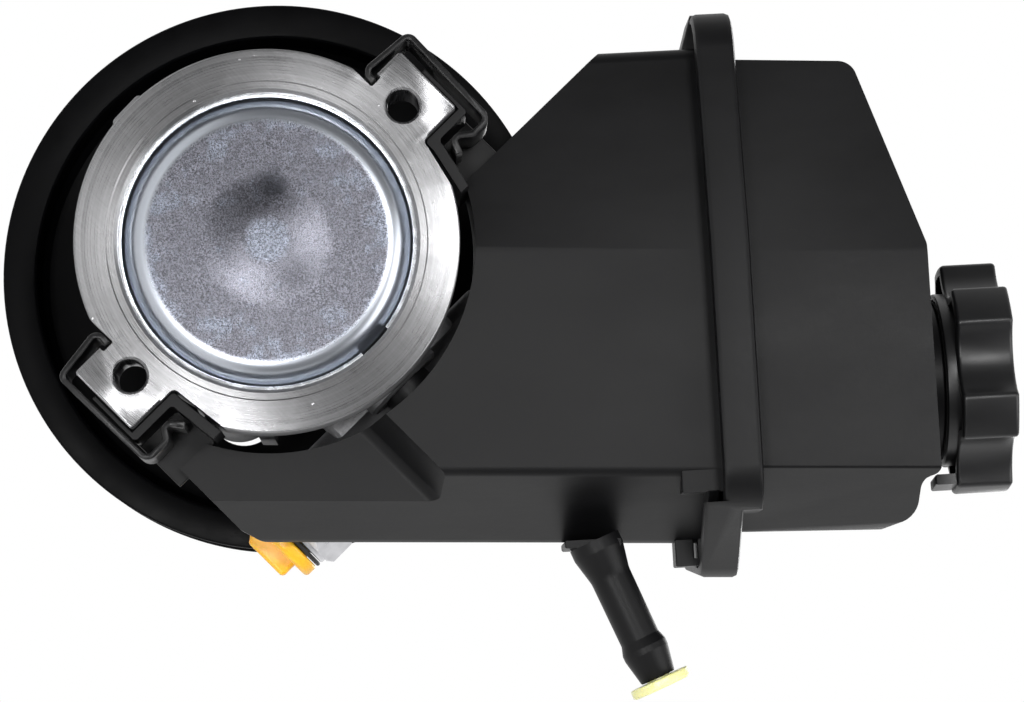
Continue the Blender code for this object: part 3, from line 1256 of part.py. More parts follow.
def cut_arm_and_front(target, shrink=0.0):
    """Set the arm's rear face back, and keep the part near the pump clear of the valve."""
    step = [(-FAR, -ARM_REAR + shrink), (ARM_STEP_START + shrink, -ARM_REAR + shrink),
            (ARM_STEP_END + shrink, -TANK_REAR + shrink), (ARM_STEP_END + shrink, -FAR),
            (-FAR, -FAR)]
    side_on = place_along((0, 0, 0), (1, 0, 0), (0, 0, 1))
    outline = [(z, -y) for z, y in step]
    cut(target, prism("step", outline, -FAR, FAR, side_on))
    cut(target, block("front", (-FAR, -SLAB_FRONT - shrink, -FAR),
                      (FAR, FAR, TANK_DEEP_FROM + shrink)))
    return target


def make_rails(body):
    """The two rails over the ears, each with its pocket for the clip's bent end."""
    inner = EAR_REACH + SEAT_GAP
    outer = inner + RAIL_THICKNESS
    start = EAR_HALF_WIDTH + SEAT_GAP
    end = start + RAIL_WALL
    sunk = TANK_SHOULDER + 2 * POCKET_LAP
    for side in (UPPER, LOWER):
        root = WALL_NOTCH_ROOT[side] + RAIL_WALL_GAP
        deep = root + RAIL_WALL + POCKET_DEEPENING
        fall = WALL_NOTCH_FALL[side] * (TANK_SHOULDER - end)
        wall = prism("wall", from_ear_outline(side, rounded([
            (inner, -RAIL_FAR_END), (outer, -RAIL_FAR_END), (outer, end), (deep, end),
            (deep, end + 2 * POCKET_LAP), (deep - fall, sunk), (root - fall, sunk),
            (root, end + POCKET_LAP), (root, start), (inner, start)],
            [0, 0, RAIL_CORNER, RAIL_CORNER, 0, 0, 0, 0, RAIL_CORNER, 0], steps=3)),
            -RAIL_REAR, -RAIL_FRONT[side], SHAFT_PLACE)
        floor = prism("floor", from_ear_outline(side, [
            (root + POCKET_LAP, end - POCKET_LAP), (outer, end - POCKET_LAP),
            (outer, sunk + POCKET_LAP), (TANK_PUMP_RADIUS - TANK_PUMP_GAP, sunk + POCKET_LAP),
            (root + POCKET_LAP - fall, TANK_SHOULDER)]),
            -POCKET_FLOOR, -RAIL_FRONT[side], SHAFT_PLACE)
        join(wall, floor)
        join(body, wall)
    return body


def spigot_groove_floor():
    return INLET_PORT_RADIUS - 2 * SPIGOT_RING_SECTION - 2 * SEAT_GAP


def make_spigot():
    """The inlet tube that plugs into the housing, with a groove for its seal."""
    groove = spigot_groove_floor()
    half = SPIGOT_GROOVE_HALF_WIDTH
    return turned("spigot", [
        (SPIGOT_TIP, 0), (SPIGOT_TIP, SPIGOT_RADIUS - CHAMFER_MEDIUM),
        (SPIGOT_TIP + CHAMFER_MEDIUM, SPIGOT_RADIUS), (SPIGOT_RING_PLACE - half, SPIGOT_RADIUS),
        (SPIGOT_RING_PLACE - half, groove), (SPIGOT_RING_PLACE + half, groove),
        (SPIGOT_RING_PLACE + half, SPIGOT_RADIUS),
        (TANK_PUMP_RADIUS + TAPER, SPIGOT_RADIUS), (TANK_PUMP_RADIUS + TAPER, 0)],
        inlet_place(), sides=SMALL_ROUND, tube=False)


def make_return_tube():
    """The barbed hose tube with its web, still without its bore."""
    tube = turned("tube", [
        (-TUBE_SINK, 0), (-TUBE_SINK, TUBE_ROOT_RADIUS), (TAPER, TUBE_ROOT_RADIUS),
        (TUBE_ROOT_TAPER, TUBE_RADIUS), (TUBE_BARB_PLACE - TAPER_LONG, TUBE_RADIUS),
        (TUBE_BARB_PLACE, TUBE_BARB_RADIUS), (TUBE_BARB_PLACE + CHAMFER_WIDE, TUBE_BARB_RADIUS),
        (TUBE_BARB_PLACE + TAPER, TUBE_TIP_RADIUS + CHAMFER_THIN), (TUBE_LENGTH, TUBE_TIP_RADIUS),
        (TUBE_LENGTH, 0)], tube_place(), sides=SMALL_ROUND, tube=False)
    half = TUBE_WEB_THICKNESS / 2
    outline = [(-TUBE_SINK + TAPER, -TUBE_WEB_SPREAD), (0, -TUBE_WEB_SPREAD),
               (TUBE_WEB_LENGTH, -TUBE_RADIUS + CHAMFER), (TUBE_WEB_LENGTH, TUBE_RADIUS - CHAMFER),
               (0, TUBE_WEB_SPREAD), (-TUBE_SINK + TAPER, TUBE_WEB_SPREAD)]
    frame = tube_place()
    flat = place_along(frame.translation, frame.to_3x3().col[0], frame.to_3x3().col[2])
    join(tube, prism("web", outline, -half, half, flat))
    return tube


def make_weld_flange(body):
    """The flange and weld rib round the lower half's mouth, lower along its bottom side."""
    high = WELD_FLANGE_Z + WELD_FLANGE_THICKNESS
    upper = tank_prism("flange", WELD_FLANGE_Z, high, WELD_FLANGE_PROUD)
    cut(upper, block("end", (FLANGE_STEP_X - SEAT_GAP, -1, 0), (1, 1, 1)))
    lower = tank_prism("flange", WELD_FLANGE_Z - FLANGE_STEP, high - FLANGE_STEP,
                       WELD_FLANGE_PROUD)
    cut(lower, block("end", (-1, -1, 0), (FLANGE_STEP_X - TAPER_LONG, 1, 1)))
    join(body, upper, lower)
    cut(body, block("mouth", (FLANGE_STEP_X - SEAT_GAP, -1, TANK_MOUTH_Z - FLANGE_STEP),
                    (1, 1, 1)))
    return body


def make_reservoir_body(finish):
    body = tank_prism("reservoir_body", TANK_LOW_Z, TANK_MOUTH_Z, 0, finish)
    keep(body, prism("plan", from_rear(tank_plan(0, TANK_MOUTH_Z + OVERRUN)), -FAR, FAR,
                     SHAFT_PLACE))
    cut_arm_and_front(body)
    make_weld_flange(body)
    make_rails(body)
    join(body, make_spigot(), make_return_tube())
    hollow = tank_prism("hollow", TANK_LOW_Z, TANK_MOUTH_Z + 2 * OVERRUN, -TANK_WALL)
    keep(hollow, prism("plan", from_rear(tank_plan(TANK_WALL, TANK_MOUTH_Z + OVERRUN)), -FAR,
                       FAR, SHAFT_PLACE))
    cut_arm_and_front(hollow, TANK_WALL)
    cut(body, hollow)
    inlet = turned("inlet", [(SPIGOT_TIP - OVERRUN, 0), (SPIGOT_TIP - OVERRUN, SPIGOT_BORE_RADIUS),
                             (TANK_PUMP_RADIUS + OVERRUN, SPIGOT_BORE_RADIUS),
                             (TANK_PUMP_RADIUS + OVERRUN, 0)],
                   inlet_place(), sides=SMALL_ROUND, tube=False)
    outlet = turned("outlet", [(-TUBE_SINK - OVERRUN, 0), (-TUBE_SINK - OVERRUN, TUBE_BORE_RADIUS),
                               (TUBE_LENGTH + OVERRUN, TUBE_BORE_RADIUS),
                               (TUBE_LENGTH + OVERRUN, 0)],
                    tube_place(), sides=SMALL_ROUND, tube=False)
    return cut(body, inlet, outlet)


def lid_plan(shrink):
    """The upper half seen from the rear, as (X, Z) points."""
    start = TANK_MOUTH_Z - 3 * OVERRUN
    end = LID_END_Z - shrink
    slope = (LID_END_Z - LID_SHOULDER_Z) / (LID_SLANT_END_X - LID_SLANT_TOP_X)
    top_x = TANK_TOP_X + COVER_INSET
    high_x = top_x + LID_TOP_LEAN
    far_x = TANK_BOTTOM_X + 2 * OVERRUN + TANK_SPREAD * TANK_MOUTH_Z
    low_x = TANK_BOTTOM_X + TANK_SPREAD * TANK_MOUTH_Z - COVER_INSET
    corner_z = LID_SHOULDER_Z - slope * (LID_SLANT_TOP_X - high_x)
    points = [(far_x, start), (top_x - OVERRUN, start), (top_x - OVERRUN, start + OVERRUN),
              (top_x + shrink, start + 2 * OVERRUN), (high_x + shrink, corner_z - shrink),
              (LID_SLANT_END_X + shrink * slope, end), (LID_STEP_X - shrink, end),
              (LID_STEP_X - shrink, end - LID_STEP), (low_x - shrink, end - LID_STEP),
              (low_x - shrink, start + 2 * OVERRUN), (far_x, start + OVERRUN)]
    radii = [0, 0, 0, 0, LID_CORNER, LID_CORNER, LID_STEP_CORNER, 0, LID_CORNER, 0, 0]
    return rounded(points, radii, steps=4)


def make_reservoir_cover(finish):
    """The upper half: flange with a turned-back skirt, walls, slanted end and neck."""
    plate_z = TANK_MOUTH_Z + SEAT_GAP
    top_z = plate_z + FLANGE_PLATE
    cover = tank_prism("reservoir_cover", SKIRT_BOTTOM_Z, top_z, SKIRT_PROUD, finish)
    cut(cover, block("end", (FLANGE_STEP_X + SKIRT_WALL, -1, 0), (1, 1, 1)))
    lower = tank_prism("lower", SKIRT_BOTTOM_Z - FLANGE_STEP, top_z - FLANGE_STEP, SKIRT_PROUD)
    cut(lower, block("end", (-1, -1, 0), (FLANGE_STEP_X, 1, 1)))
    shell = tank_prism("shell", plate_z - FLANGE_STEP + CHAMFER, LID_END_Z + OVERRUN, -COVER_INSET)
    keep(shell, prism("plan", from_rear(lid_plan(0)), -FAR, FAR, SHAFT_PLACE))
    join(cover, lower, shell)
    join(cover, turned("neck", [(LID_END_Z - TAPER, 0), (LID_END_Z - TAPER, NECK_RADIUS),
                                (LID_END_Z + NECK_HEIGHT, NECK_RADIUS),
                                (LID_END_Z + NECK_HEIGHT, 0)], neck_place(),
                       sides=MEDIUM_ROUND, tube=False))
    grow = SKIRT_PROUD - SKIRT_WALL
    upper_space = tank_prism("space", SKIRT_BOTTOM_Z - OVERRUN, plate_z, grow)
    cut(upper_space, block("end", (FLANGE_STEP_X, -1, 0), (1, 1, 1)))
    lower_space = tank_prism("space", SKIRT_BOTTOM_Z - FLANGE_STEP - OVERRUN, plate_z - FLANGE_STEP,
                             grow)
    cut(lower_space, block("end", (-1, -1, 0), (FLANGE_STEP_X - CHAMFER, 1, 1)))
    cut(cover, upper_space, lower_space)
    hollow = tank_prism("hollow", SKIRT_BOTTOM_Z - 2 * OVERRUN, LID_END_Z + OVERRUN,
                        -COVER_INSET - TANK_WALL)
    keep(hollow, prism("plan", from_rear(lid_plan(TANK_WALL)), -FAR, FAR, SHAFT_PLACE))
    cut(cover, hollow)
    bore = turned("bore", [(LID_END_Z - 2 * OVERRUN, 0), (LID_END_Z - 2 * OVERRUN, NECK_BORE_RADIUS),
                           (LID_END_Z + NECK_HEIGHT + OVERRUN, NECK_BORE_RADIUS),
                           (LID_END_Z + NECK_HEIGHT + OVERRUN, 0)], neck_place(),
                  sides=MEDIUM_ROUND, tube=False)
    return cut(cover, bore)


def lobed(lobe_steps=3, valley_steps=5):
    """A knob's outline: six lobes with firm corners and hollow valleys between them."""
    pitch = 2 * math.pi / CAP_LOBES
    ahead = (pitch - CAP_LOBE_ARC) / 2
    sink = CAP_RADIUS * math.cos(ahead) - CAP_VALLEY_RADIUS
    hollow = ((CAP_RADIUS * math.sin(ahead)) ** 2 + sink ** 2) / (2 * sink)
    swing = math.asin(CAP_RADIUS * math.sin(ahead) / hollow)
    outline = []
    for number in range(CAP_LOBES):
        middle = CAP_LOBE_ANGLE + number * pitch
        for step in range(lobe_steps + 1):
            angle = middle + CAP_LOBE_ARC * (step / lobe_steps - 0.5)
            outline.append((CAP_RADIUS * math.cos(angle), CAP_RADIUS * math.sin(angle)))
        valley = middle + pitch / 2
        for step in range(1, valley_steps):
            way = swing * (1 - 2 * step / valley_steps)
            x = CAP_VALLEY_RADIUS + hollow * (1 - math.cos(way))
            y = -hollow * math.sin(way)
            outline.append((x * math.cos(valley) - y * math.sin(valley),
                            x * math.sin(valley) + y * math.cos(valley)))
    return outline


def cap_underside():
    return LID_END_Z + NECK_HEIGHT + 2 * SEAT_GAP + CAP_SEAL_THICKNESS


def make_cap(finish):
    low = cap_underside()
    high = low + CAP_HEIGHT
    levels = [(low, CAP_EDGE * 0.5), (low + CAP_EDGE * 0.5, 0), (high - CAP_EDGE * 1.6, 0),
              (high - CAP_EDGE * 0.5, CAP_EDGE * 0.5), (high, CAP_EDGE * 1.6)]
    rings = [[(x, y, z) for x, y in grown(lobed(), -inset)] for z, inset in levels]
    cap = lofted("filler_cap", rings, neck_place(), finish)
    skirt = turned("skirt", [
        (low - CAP_SKIRT_DROP, CAP_SKIRT_RADIUS - CAP_SKIRT_WALL),
        (low - CAP_SKIRT_DROP, CAP_SKIRT_RADIUS),
        (low + CHAMFER, CAP_SKIRT_RADIUS), (low + CHAMFER, CAP_SKIRT_RADIUS - CAP_SKIRT_WALL)],
        neck_place(), sides=MEDIUM_ROUND)
    plug = turned("plug", [
        (low - DIPSTICK_BOSS_DROP, 0), (low - DIPSTICK_BOSS_DROP, DIPSTICK_BOSS_RADIUS - CHAMFER_MEDIUM),
        (low - DIPSTICK_BOSS_DROP + CHAMFER, DIPSTICK_BOSS_RADIUS),
        (low - CAP_PLUG_DROP, DIPSTICK_BOSS_RADIUS + CHAMFER_SLIM),
        (low - CAP_PLUG_DROP, CAP_PLUG_RADIUS - CHAMFER),
        (low - CAP_PLUG_DROP + CHAMFER, CAP_PLUG_RADIUS), (low + CHAMFER, CAP_PLUG_RADIUS),
        (low + CHAMFER, 0)], neck_place(), sides=MEDIUM_ROUND, tube=False)
    tab_end = CAP_RADIUS - CAP_TAB_INSET
    tab = block("tab", (tab_end - CAP_TAB_THICKNESS, -CAP_TAB_WIDTH / 2, low - CAP_TAB_DROP),
                (tab_end, CAP_TAB_WIDTH / 2, low + CAP_EDGE),
                neck_place() @ Matrix.Rotation(CAP_LOBE_ANGLE, 4, "Z"))
    join(cap, skirt, plug, tab)
    recess = turned("recess", [
        (high - CAP_RECESS_DEPTH, 0), (high - CAP_RECESS_DEPTH, CAP_RECESS_RADIUS - TAPER),
        (high - CAP_RECESS_DEPTH + CHAMFER, CAP_RECESS_RADIUS - CHAMFER),
        (high + OVERRUN, CAP_RECESS_RADIUS + CHAMFER), (high + OVERRUN, 0)],
        neck_place(), sides=MEDIUM_ROUND, tube=False)
    half_width = DIPSTICK_WIDTH / 2 + SEAT_GAP
    half_thick = DIPSTICK_THICKNESS / 2 + SEAT_GAP
    socket = block("socket", (-half_width, -half_thick, low - DIPSTICK_BOSS_DROP - OVERRUN),
                   (half_width, half_thick, low - DIPSTICK_BOSS_DROP + DIPSTICK_SOCKET_DEPTH),
                   neck_place())
    return cut(cap, recess, socket)


def make_cap_seal(finish):
    low = LID_END_Z + NECK_HEIGHT + SEAT_GAP
    high = low + CAP_SEAL_THICKNESS
    inner = NECK_BORE_RADIUS - SEAT_GAP
    outer = CAP_SKIRT_RADIUS - CAP_SKIRT_WALL - SEAT_GAP
    return turned("cap_seal", [(low, inner), (low, outer), (high, outer), (high, inner)],
                  neck_place(), finish, sides=MEDIUM_ROUND)


def make_dipstick(finish):
    """A moulded blade with a pointed tip and a stiffening rib."""
    top = cap_underside() - DIPSTICK_BOSS_DROP + DIPSTICK_SOCKET_DEPTH - SEAT_GAP
    half = DIPSTICK_WIDTH / 2
    tip = DIPSTICK_TIP_Z
    point = half * DIPSTICK_POINT
    outline = [(-half, top), (-half, tip + DIPSTICK_TAPER), (-point, tip), (point, tip),
               (half, tip + DIPSTICK_TAPER), (half, top)]
    lying = place_along((NECK_X, NECK_Y, 0), (0, 1, 0), (1, 0, 0))
    flipped = [(x, -z) for x, z in outline]
    return prism("dipstick", flipped, -DIPSTICK_THICKNESS / 2, DIPSTICK_THICKNESS / 2, lying, finish)


def make_clip(name, side, finish):
    """A spring-steel strip: hooked in the ear's notch, over the rail, into the pocket.
    Its bends are (out, across) in the ear's own directions."""
    path = [(out * MM, across * MM) for out, across in CLIP_BENDS[side]]
    radii = [radius * MM for radius in CLIP_BEND_RADII]
    middle = rounded(path, radii, steps=3, closed=False)
    outline = strip(middle, CLIP_THICKNESS)
    return prism(name, from_ear_outline(side, outline), -CLIP_REAR, -CLIP_REAR + CLIP_WIDTH,
                 SHAFT_PLACE, finish)


def make_return_plug(finish):
    low = TUBE_LENGTH + SEAT_GAP
    high = low + RETURN_PLUG_THICKNESS
    shank = TUBE_BORE_RADIUS - SEAT_GAP
    edge = CHAMFER_SLIM
    return turned("return_tube_plug", [
        (TUBE_LENGTH - RETURN_PLUG_SHANK, 0), (TUBE_LENGTH - RETURN_PLUG_SHANK, shank - CHAMFER_MEDIUM),
        (TUBE_LENGTH - RETURN_PLUG_SHANK + CHAMFER, shank), (low, shank),
        (low, RETURN_PLUG_RADIUS - edge), (low + edge, RETURN_PLUG_RADIUS),
        (high - edge, RETURN_PLUG_RADIUS), (high, RETURN_PLUG_RADIUS - edge), (high, 0)],
        tube_place(), finish, sides=SMALL_ROUND, tube=False)


def build():
    for old in list(bpy.data.objects):
        bpy.data.objects.remove(old)

    aluminium = material("cast_aluminium", (0.62, 0.62, 0.63), 0.42, 1.0)
    zinc = material("zinc_plated_steel", (0.62, 0.65, 0.70), 0.28, 1.0)
    steel = material("ground_steel", (0.56, 0.56, 0.57), 0.3, 1.0)
    spring_steel = material("black_spring_steel", (0.03, 0.03, 0.03), 0.35, 0.6)
    black_paint = material("black_painted_steel", (0.008, 0.008, 0.009), 0.4)
    sintered = material("sintered_iron", (0.3, 0.3, 0.31), 0.55, 1.0)
    bronze = material("bearing_bronze", (0.6, 0.42, 0.2), 0.4, 1.0)
    rubber = material("black_rubber", (0.012, 0.012, 0.012), 0.6)
    nylon = material("black_nylon", (0.021, 0.021, 0.022), 0.45)
    orange = material("orange_plastic", (0.95, 0.42, 0.02), 0.4)
    pale = material("pale_plastic", (0.86, 0.82, 0.55), 0.35)

    make_housing(aluminium)
    make_end_cover(zinc)
    make_wire_ring(zinc)
    seal_ring("end_cover_o_ring", COVER_EDGE_RADIUS + SEAT_GAP + COVER_SEAL_SECTION,
              COVER_SEAL_SECTION,
              SHAFT_PLACE @ Matrix.Translation((0, 0, REAR_FACE + COVER_SEAL_DEPTH)), rubber)
    make_shaft(steel)
    make_pulley(black_paint)
    make_bearing(bronze)
    make_seal(rubber)
    make_plate("thrust_plate", THRUST_BACK, THRUST_FRONT, SHAFT_RADIUS + CHAMFER, sintered)
    make_cam_ring(sintered)
    make_rotor(steel)
    make_vanes(steel)
    make_rotor_ring(steel)
    make_pressure_plate(sintered)
    seal_ring("pressure_plate_o_ring", CHAMBER_RADIUS - SEAT_GAP - PLATE_RING_SECTION,
              PLATE_RING_SECTION,
              SHAFT_PLACE @ Matrix.Translation((0, 0, (PRESSURE_BACK + PRESSURE_FRONT) / 2)), rubber)
    make_plate_spring(steel)
    make_dowels(steel)
    make_spool(steel)
    make_valve_spring(steel)
    make_fitting(zinc)
    make_fitting_ring(rubber)
    make_port_plug(orange, rubber)
    make_reservoir_body(nylon)
    seal_ring("reservoir_inlet_o_ring",
              spigot_groove_floor() + SEAT_GAP + SPIGOT_RING_SECTION,
              SPIGOT_RING_SECTION, inlet_place() @ Matrix.Translation((0, 0, SPIGOT_RING_PLACE)),
              rubber, SMALL_ROUND)
    make_reservoir_cover(nylon)
    make_cap(nylon)
    make_cap_seal(rubber)
    make_dipstick(nylon)
    make_clip("upper_clip", UPPER, spring_steel)
    make_clip("lower_clip", LOWER, spring_steel)
    make_return_plug(pale)


build()
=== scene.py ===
"""Power steering pump with its reservoir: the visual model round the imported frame.

+Y runs along the shaft to the pulley, +Z along the filler cap's axis and +X is photo down.
"""
import math

import bmesh
import bpy
from mathutils import Matrix, Vector


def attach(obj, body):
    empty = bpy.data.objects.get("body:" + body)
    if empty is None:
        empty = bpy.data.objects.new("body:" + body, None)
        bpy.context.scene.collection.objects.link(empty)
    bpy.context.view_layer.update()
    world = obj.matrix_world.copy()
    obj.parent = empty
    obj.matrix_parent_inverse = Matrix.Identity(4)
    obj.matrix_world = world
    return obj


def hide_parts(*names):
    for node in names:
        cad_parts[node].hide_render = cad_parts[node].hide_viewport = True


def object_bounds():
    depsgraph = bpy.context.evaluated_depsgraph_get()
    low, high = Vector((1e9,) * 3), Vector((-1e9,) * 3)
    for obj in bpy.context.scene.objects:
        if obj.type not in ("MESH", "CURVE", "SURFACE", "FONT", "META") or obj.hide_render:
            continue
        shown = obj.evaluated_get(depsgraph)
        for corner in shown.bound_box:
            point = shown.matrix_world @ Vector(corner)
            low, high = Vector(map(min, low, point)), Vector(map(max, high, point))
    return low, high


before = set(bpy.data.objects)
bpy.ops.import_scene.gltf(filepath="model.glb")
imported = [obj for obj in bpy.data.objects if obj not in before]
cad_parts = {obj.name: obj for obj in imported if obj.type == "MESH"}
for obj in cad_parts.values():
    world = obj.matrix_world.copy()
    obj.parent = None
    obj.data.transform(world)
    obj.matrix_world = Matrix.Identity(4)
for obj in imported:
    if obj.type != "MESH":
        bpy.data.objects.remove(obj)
CAD_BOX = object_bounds()

MM = 0.001
SEAT_GAP = 0.3 * MM
OVERRUN = 5 * MM
FAR = 200 * MM
FINE_ROUND = 160
ROUND = 96
SMALL_ROUND = 48
PULLEY_ROUND = 192
WELD = 0.0008 * MM
SHARP = math.radians(30)

# The photograph's camera, fitted to the ring, the ears and the reservoir's edges
CAMERA_PLACE = Vector((119.33, -1071.82, 29.76)) * MM
CAMERA_RIGHT = Vector((0.0556, -0.0264, 0.9981))
CAMERA_UP = Vector((-0.9946, -0.0887, 0.0531))
CAMERA_LENS = 138.02
CAMERA_SENSOR = 36
CAMERA_NEAR = 50 * MM

# Pump housing
EAR_ANGLE = math.radians(48)
HOUSING_LENGTH = 72 * MM
BOSS_HEIGHT = 8 * MM
RING_RADIUS = 49.5 * MM
RING_THICKNESS = 15 * MM
RING_STEP_RADIUS = 41 * MM
RING_STEP_DEPTH = 0.35 * MM
BODY_RADIUS = 44 * MM
COVER_BORE_RADIUS = 38.4 * MM
COVER_BORE_DEPTH = 14 * MM
CHAMBER_RADIUS = 36 * MM
CHAMBER_FLOOR = 26 * MM
NOSE_RADIUS = 19 * MM
NOSE_LENGTH = 11 * MM
GATE_BUMP_ANGLE = math.radians(136)
CASTING_RIB_DEGREES = (-95, -84, 4, 22)
EAR_REACH = RING_RADIUS + 9.2 * MM
EAR_HALF_WIDTH = 10 * MM
EAR_CORNER = 0.9 * MM
EAR_ROOT = RING_RADIUS - 6.5 * MM
HOOK_NOTCH_FLOOR = {1: RING_RADIUS - 2.6 * MM, -1: RING_RADIUS - 3.3 * MM}
HOOK_NOTCH_HEIGHT = 3.5 * MM
HOOK_NOTCH_START = -9.1 * MM
HOOK_NOTCH_END = -19.5 * MM
WALL_NOTCH_ROOT = {1: RING_RADIUS - 3.4 * MM, -1: RING_RADIUS - 6.1 * MM}
WALL_NOTCH_FALL = {1: 0.24, -1: 0.12}
WALL_NOTCH_END = 28 * MM
EAR_THICKNESS = 20 * MM
EAR_HOLE_RADIUS = 4.5 * MM
EAR_HOLE_CIRCLE = EAR_REACH - 9.5 * MM
THREAD_PITCH = 1.25 * MM
THREAD_DEPTH = 0.45 * MM
THREAD_SIDES = 32
THREAD_STEPS = 8
BOSS_COUNT = 3
BOSS_CIRCLE = 38 * MM
BOSS_RADIUS = 10.5 * MM
BOSS_HOLE_RADIUS = 4.3 * MM
BOSS_HOLE_DEPTH = 17 * MM
BOSS_ROOT = 50 * MM

# Valve, outlet and inlet
VALVE_OFFSET = 55.5 * MM
VALVE_DEPTH = 18 * MM
VALVE_BOSS_RADIUS = 13.3 * MM
VALVE_BOSS_OUTER_END = 38 * MM
VALVE_BOSS_BLIND_END = 34 * MM
FITTING_SHANK_RADIUS = 9.9 * MM
FITTING_SHANK_LENGTH = 17 * MM
FITTING_FLATS = 22.4 * MM
FITTING_HEX_LENGTH = 8.4 * MM
FITTING_COLLAR_RADIUS = 10.7 * MM
FITTING_COLLAR_LENGTH = 1.3 * MM
FITTING_PORT_RADIUS = 7.0 * MM
PORT_PLUG_RADIUS = 10.5 * MM
PORT_PLUG_THICKNESS = 3.8 * MM
PORT_PLUG_SHANK = 13 * MM
PORT_GASKET_THICKNESS = 1.1 * MM
PORT_GRIP_HEIGHT = 4.6 * MM
PORT_GRIP_THICKNESS = 5 * MM
PORT_GRIP_LONG_END = 11.6 * MM
PORT_GRIP_SHORT_END = 6 * MM
PORT_GRIP_WING = 3 * MM
INLET_DEPTH = 46 * MM
INLET_BOSS_RADIUS = 11.5 * MM
INLET_BOSS_REACH = RING_RADIUS + 0.5 * MM
SPIGOT_RADIUS = 7 * MM

# Shaft, end cover and its ring
SHAFT_RADIUS = 8.5 * MM
SHAFT_NOSE = 48 * MM
SHAFT_END = -51 * MM
SHAFT_STEP = -25.5 * MM
SEAL_RADIUS = 14.5 * MM
COVER_TOP_DEPTH = 0.9 * MM
COVER_PLATEAU_RADIUS = 31 * MM
COVER_SHOULDER_RADIUS = 5.2 * MM
COVER_SHOULDER_DEGREES = 48
COVER_RIM_FACE_DEPTH = 5.2 * MM
COVER_EDGE_RADIUS = 37.9 * MM
COVER_CONE_RADIUS = 15 * MM
COVER_CONE_HEIGHT = 1.3 * MM
COVER_CONE_STEPS = 18
COVER_CENTRE_RADIUS = 4.6 * MM
# Centre of a dark patch painted on the end cover's plateau: a painted dark reflection, not a stain
DARK_REFLECTION_SPOT = Vector((-14.7, -71, 2.2)) * MM
WIRE_RING_DEPTH = 3.4 * MM
WIRE_RING_THICKNESS = 1.3 * MM
WIRE_RING_INNER_RADIUS = 37.4 * MM
WIRE_RING_OUTER_RADIUS = 39.4 * MM
WIRE_RING_GAP = math.radians(14)
WIRE_RING_GAP_ANGLE = math.radians(44)

# Pulley
PULLEY_RADIUS = 76 * MM
PULLEY_REAR = 13 * MM
PULLEY_WIDTH = 26 * MM
PULLEY_FLANGE = 2.2 * MM
PULLEY_BELT_RADIUS = 73.4 * MM
PULLEY_GROOVE_DEPTH = 2.9 * MM
PULLEY_GROOVES = 6
PULLEY_RIM_WALL = 3.8 * MM
PULLEY_WEB_FRONT = 7 * MM
PULLEY_WEB_THICKNESS = 3.4 * MM
PULLEY_HUB_RADIUS = 15 * MM
PULLEY_HUB_REAR = 14 * MM
PULLEY_HUB_FRONT = 46 * MM
PULLEY_WINDOW_RADIUS = 9.5 * MM

# Reservoir
TANK_WALL = 2.8 * MM
TANK_MOUTH_Z = 119.7 * MM
TANK_TOP_X = -47.3 * MM
TANK_TOP_REAR = 54 * MM
TANK_REAR = 64 * MM
TANK_FACET_X = 1 * MM
TANK_BREAK_X = 59.2 * MM
TANK_BOTTOM_X = 76.1 * MM
TANK_BAND_FRONT = 34 * MM
TANK_FRONT = 22 * MM
TANK_FRONT_TOP_X = -44 * MM
TANK_FRONT_BOTTOM_X = 72.5 * MM
TANK_SPREAD = 0.056
TANK_CORNER = 4 * MM
TANK_EDGE = 1.1 * MM
TANK_PUMP_RADIUS = RING_RADIUS + 4 * MM
TANK_SHOULDER = 24.4 * MM
TANK_ARC_STEPS = 48
ARM_REACH = TANK_PUMP_RADIUS + 3.5 * MM
ARM_CORNER_RISE = 3.8 * MM
ARM_CORNER_RUN = 13 * MM
ARM_CORNER_BEND = 0.4
ARM_REAR = 52 * MM
ARM_STEP_START = -15.4 * MM
ARM_STEP_END = -9.6 * MM
SLAB_FRONT = 33.5 * MM
TANK_DEEP_FROM = TANK_MOUTH_Z - 35.7 * MM
TANK_LOW_Z = -60 * MM
RAIL_THICKNESS = 1.3 * MM
RAIL_FAR_END = 3 * MM
RAIL_REAR = 69 * MM
RAIL_FRONT = {1: 39 * MM, -1: 47.4 * MM}
RAIL_WALL = 2.4 * MM
RAIL_WALL_GAP = 0.7 * MM
POCKET_FLOOR = 49 * MM
CLIP_THICKNESS = 1.6 * MM
CLIP_REAR = 70.5 * MM
CLIP_WIDTH = 19 * MM
CLIP_BENDS = {
    1: ((48.6, -10), (48.6, -13.4), (63.6, -12.2), (62.9, 8), (62.6, 17.8), (57, 17.8),
        (54, 15.4), (52.4, 15.4), (50.9, 18.9)),
    -1: ((47.5, -10), (47.2, -14.4), (61.9, -12.5), (61.9, -6), (61.4, 18.4), (54.4, 18.2),
         (52.6, 15.5), (50.8, 15.4), (48.4, 18.6))}
CLIP_BEND_RADII = (0, 2, 1.8, 9, 2.4, 1.6, 1.2, 1.2, 0)
WELD_FLANGE_Z = TANK_MOUTH_Z - 5.2 * MM
WELD_FLANGE_THICKNESS = 3 * MM
WELD_FLANGE_PROUD = 5.5 * MM
WELD_RIBS = ((0, 5.5, 0, 5), (0, 5.5, 6, 8.4), (5, 7, 0, 8.4))
WELD_RIB_REAR = 36 * MM
WELD_RIB_FRONT = 25 * MM
GUSSET_REAR = 50 * MM
GUSSET_FRONT = 30 * MM
SKIRT_BOTTOM_Z = TANK_MOUTH_Z - 6.4 * MM
SKIRT_PROUD = 9 * MM
SKIRT_WALL = 2.4 * MM
FLANGE_PLATE = 3.7 * MM
FLANGE_STEP_X = 73 * MM
FLANGE_STEP = 5 * MM
COVER_INSET = 3 * MM
LID_END_Z = TANK_MOUTH_Z + 51.1 * MM
LID_SHOULDER_Z = LID_END_Z - 14.3 * MM
LID_STEP_X = 68.6 * MM
LID_STEP = 4.6 * MM
LID_SLANT_TOP_X = -37 * MM
LID_SLANT_END_X = 8.5 * MM
LID_CORNER = 5 * MM
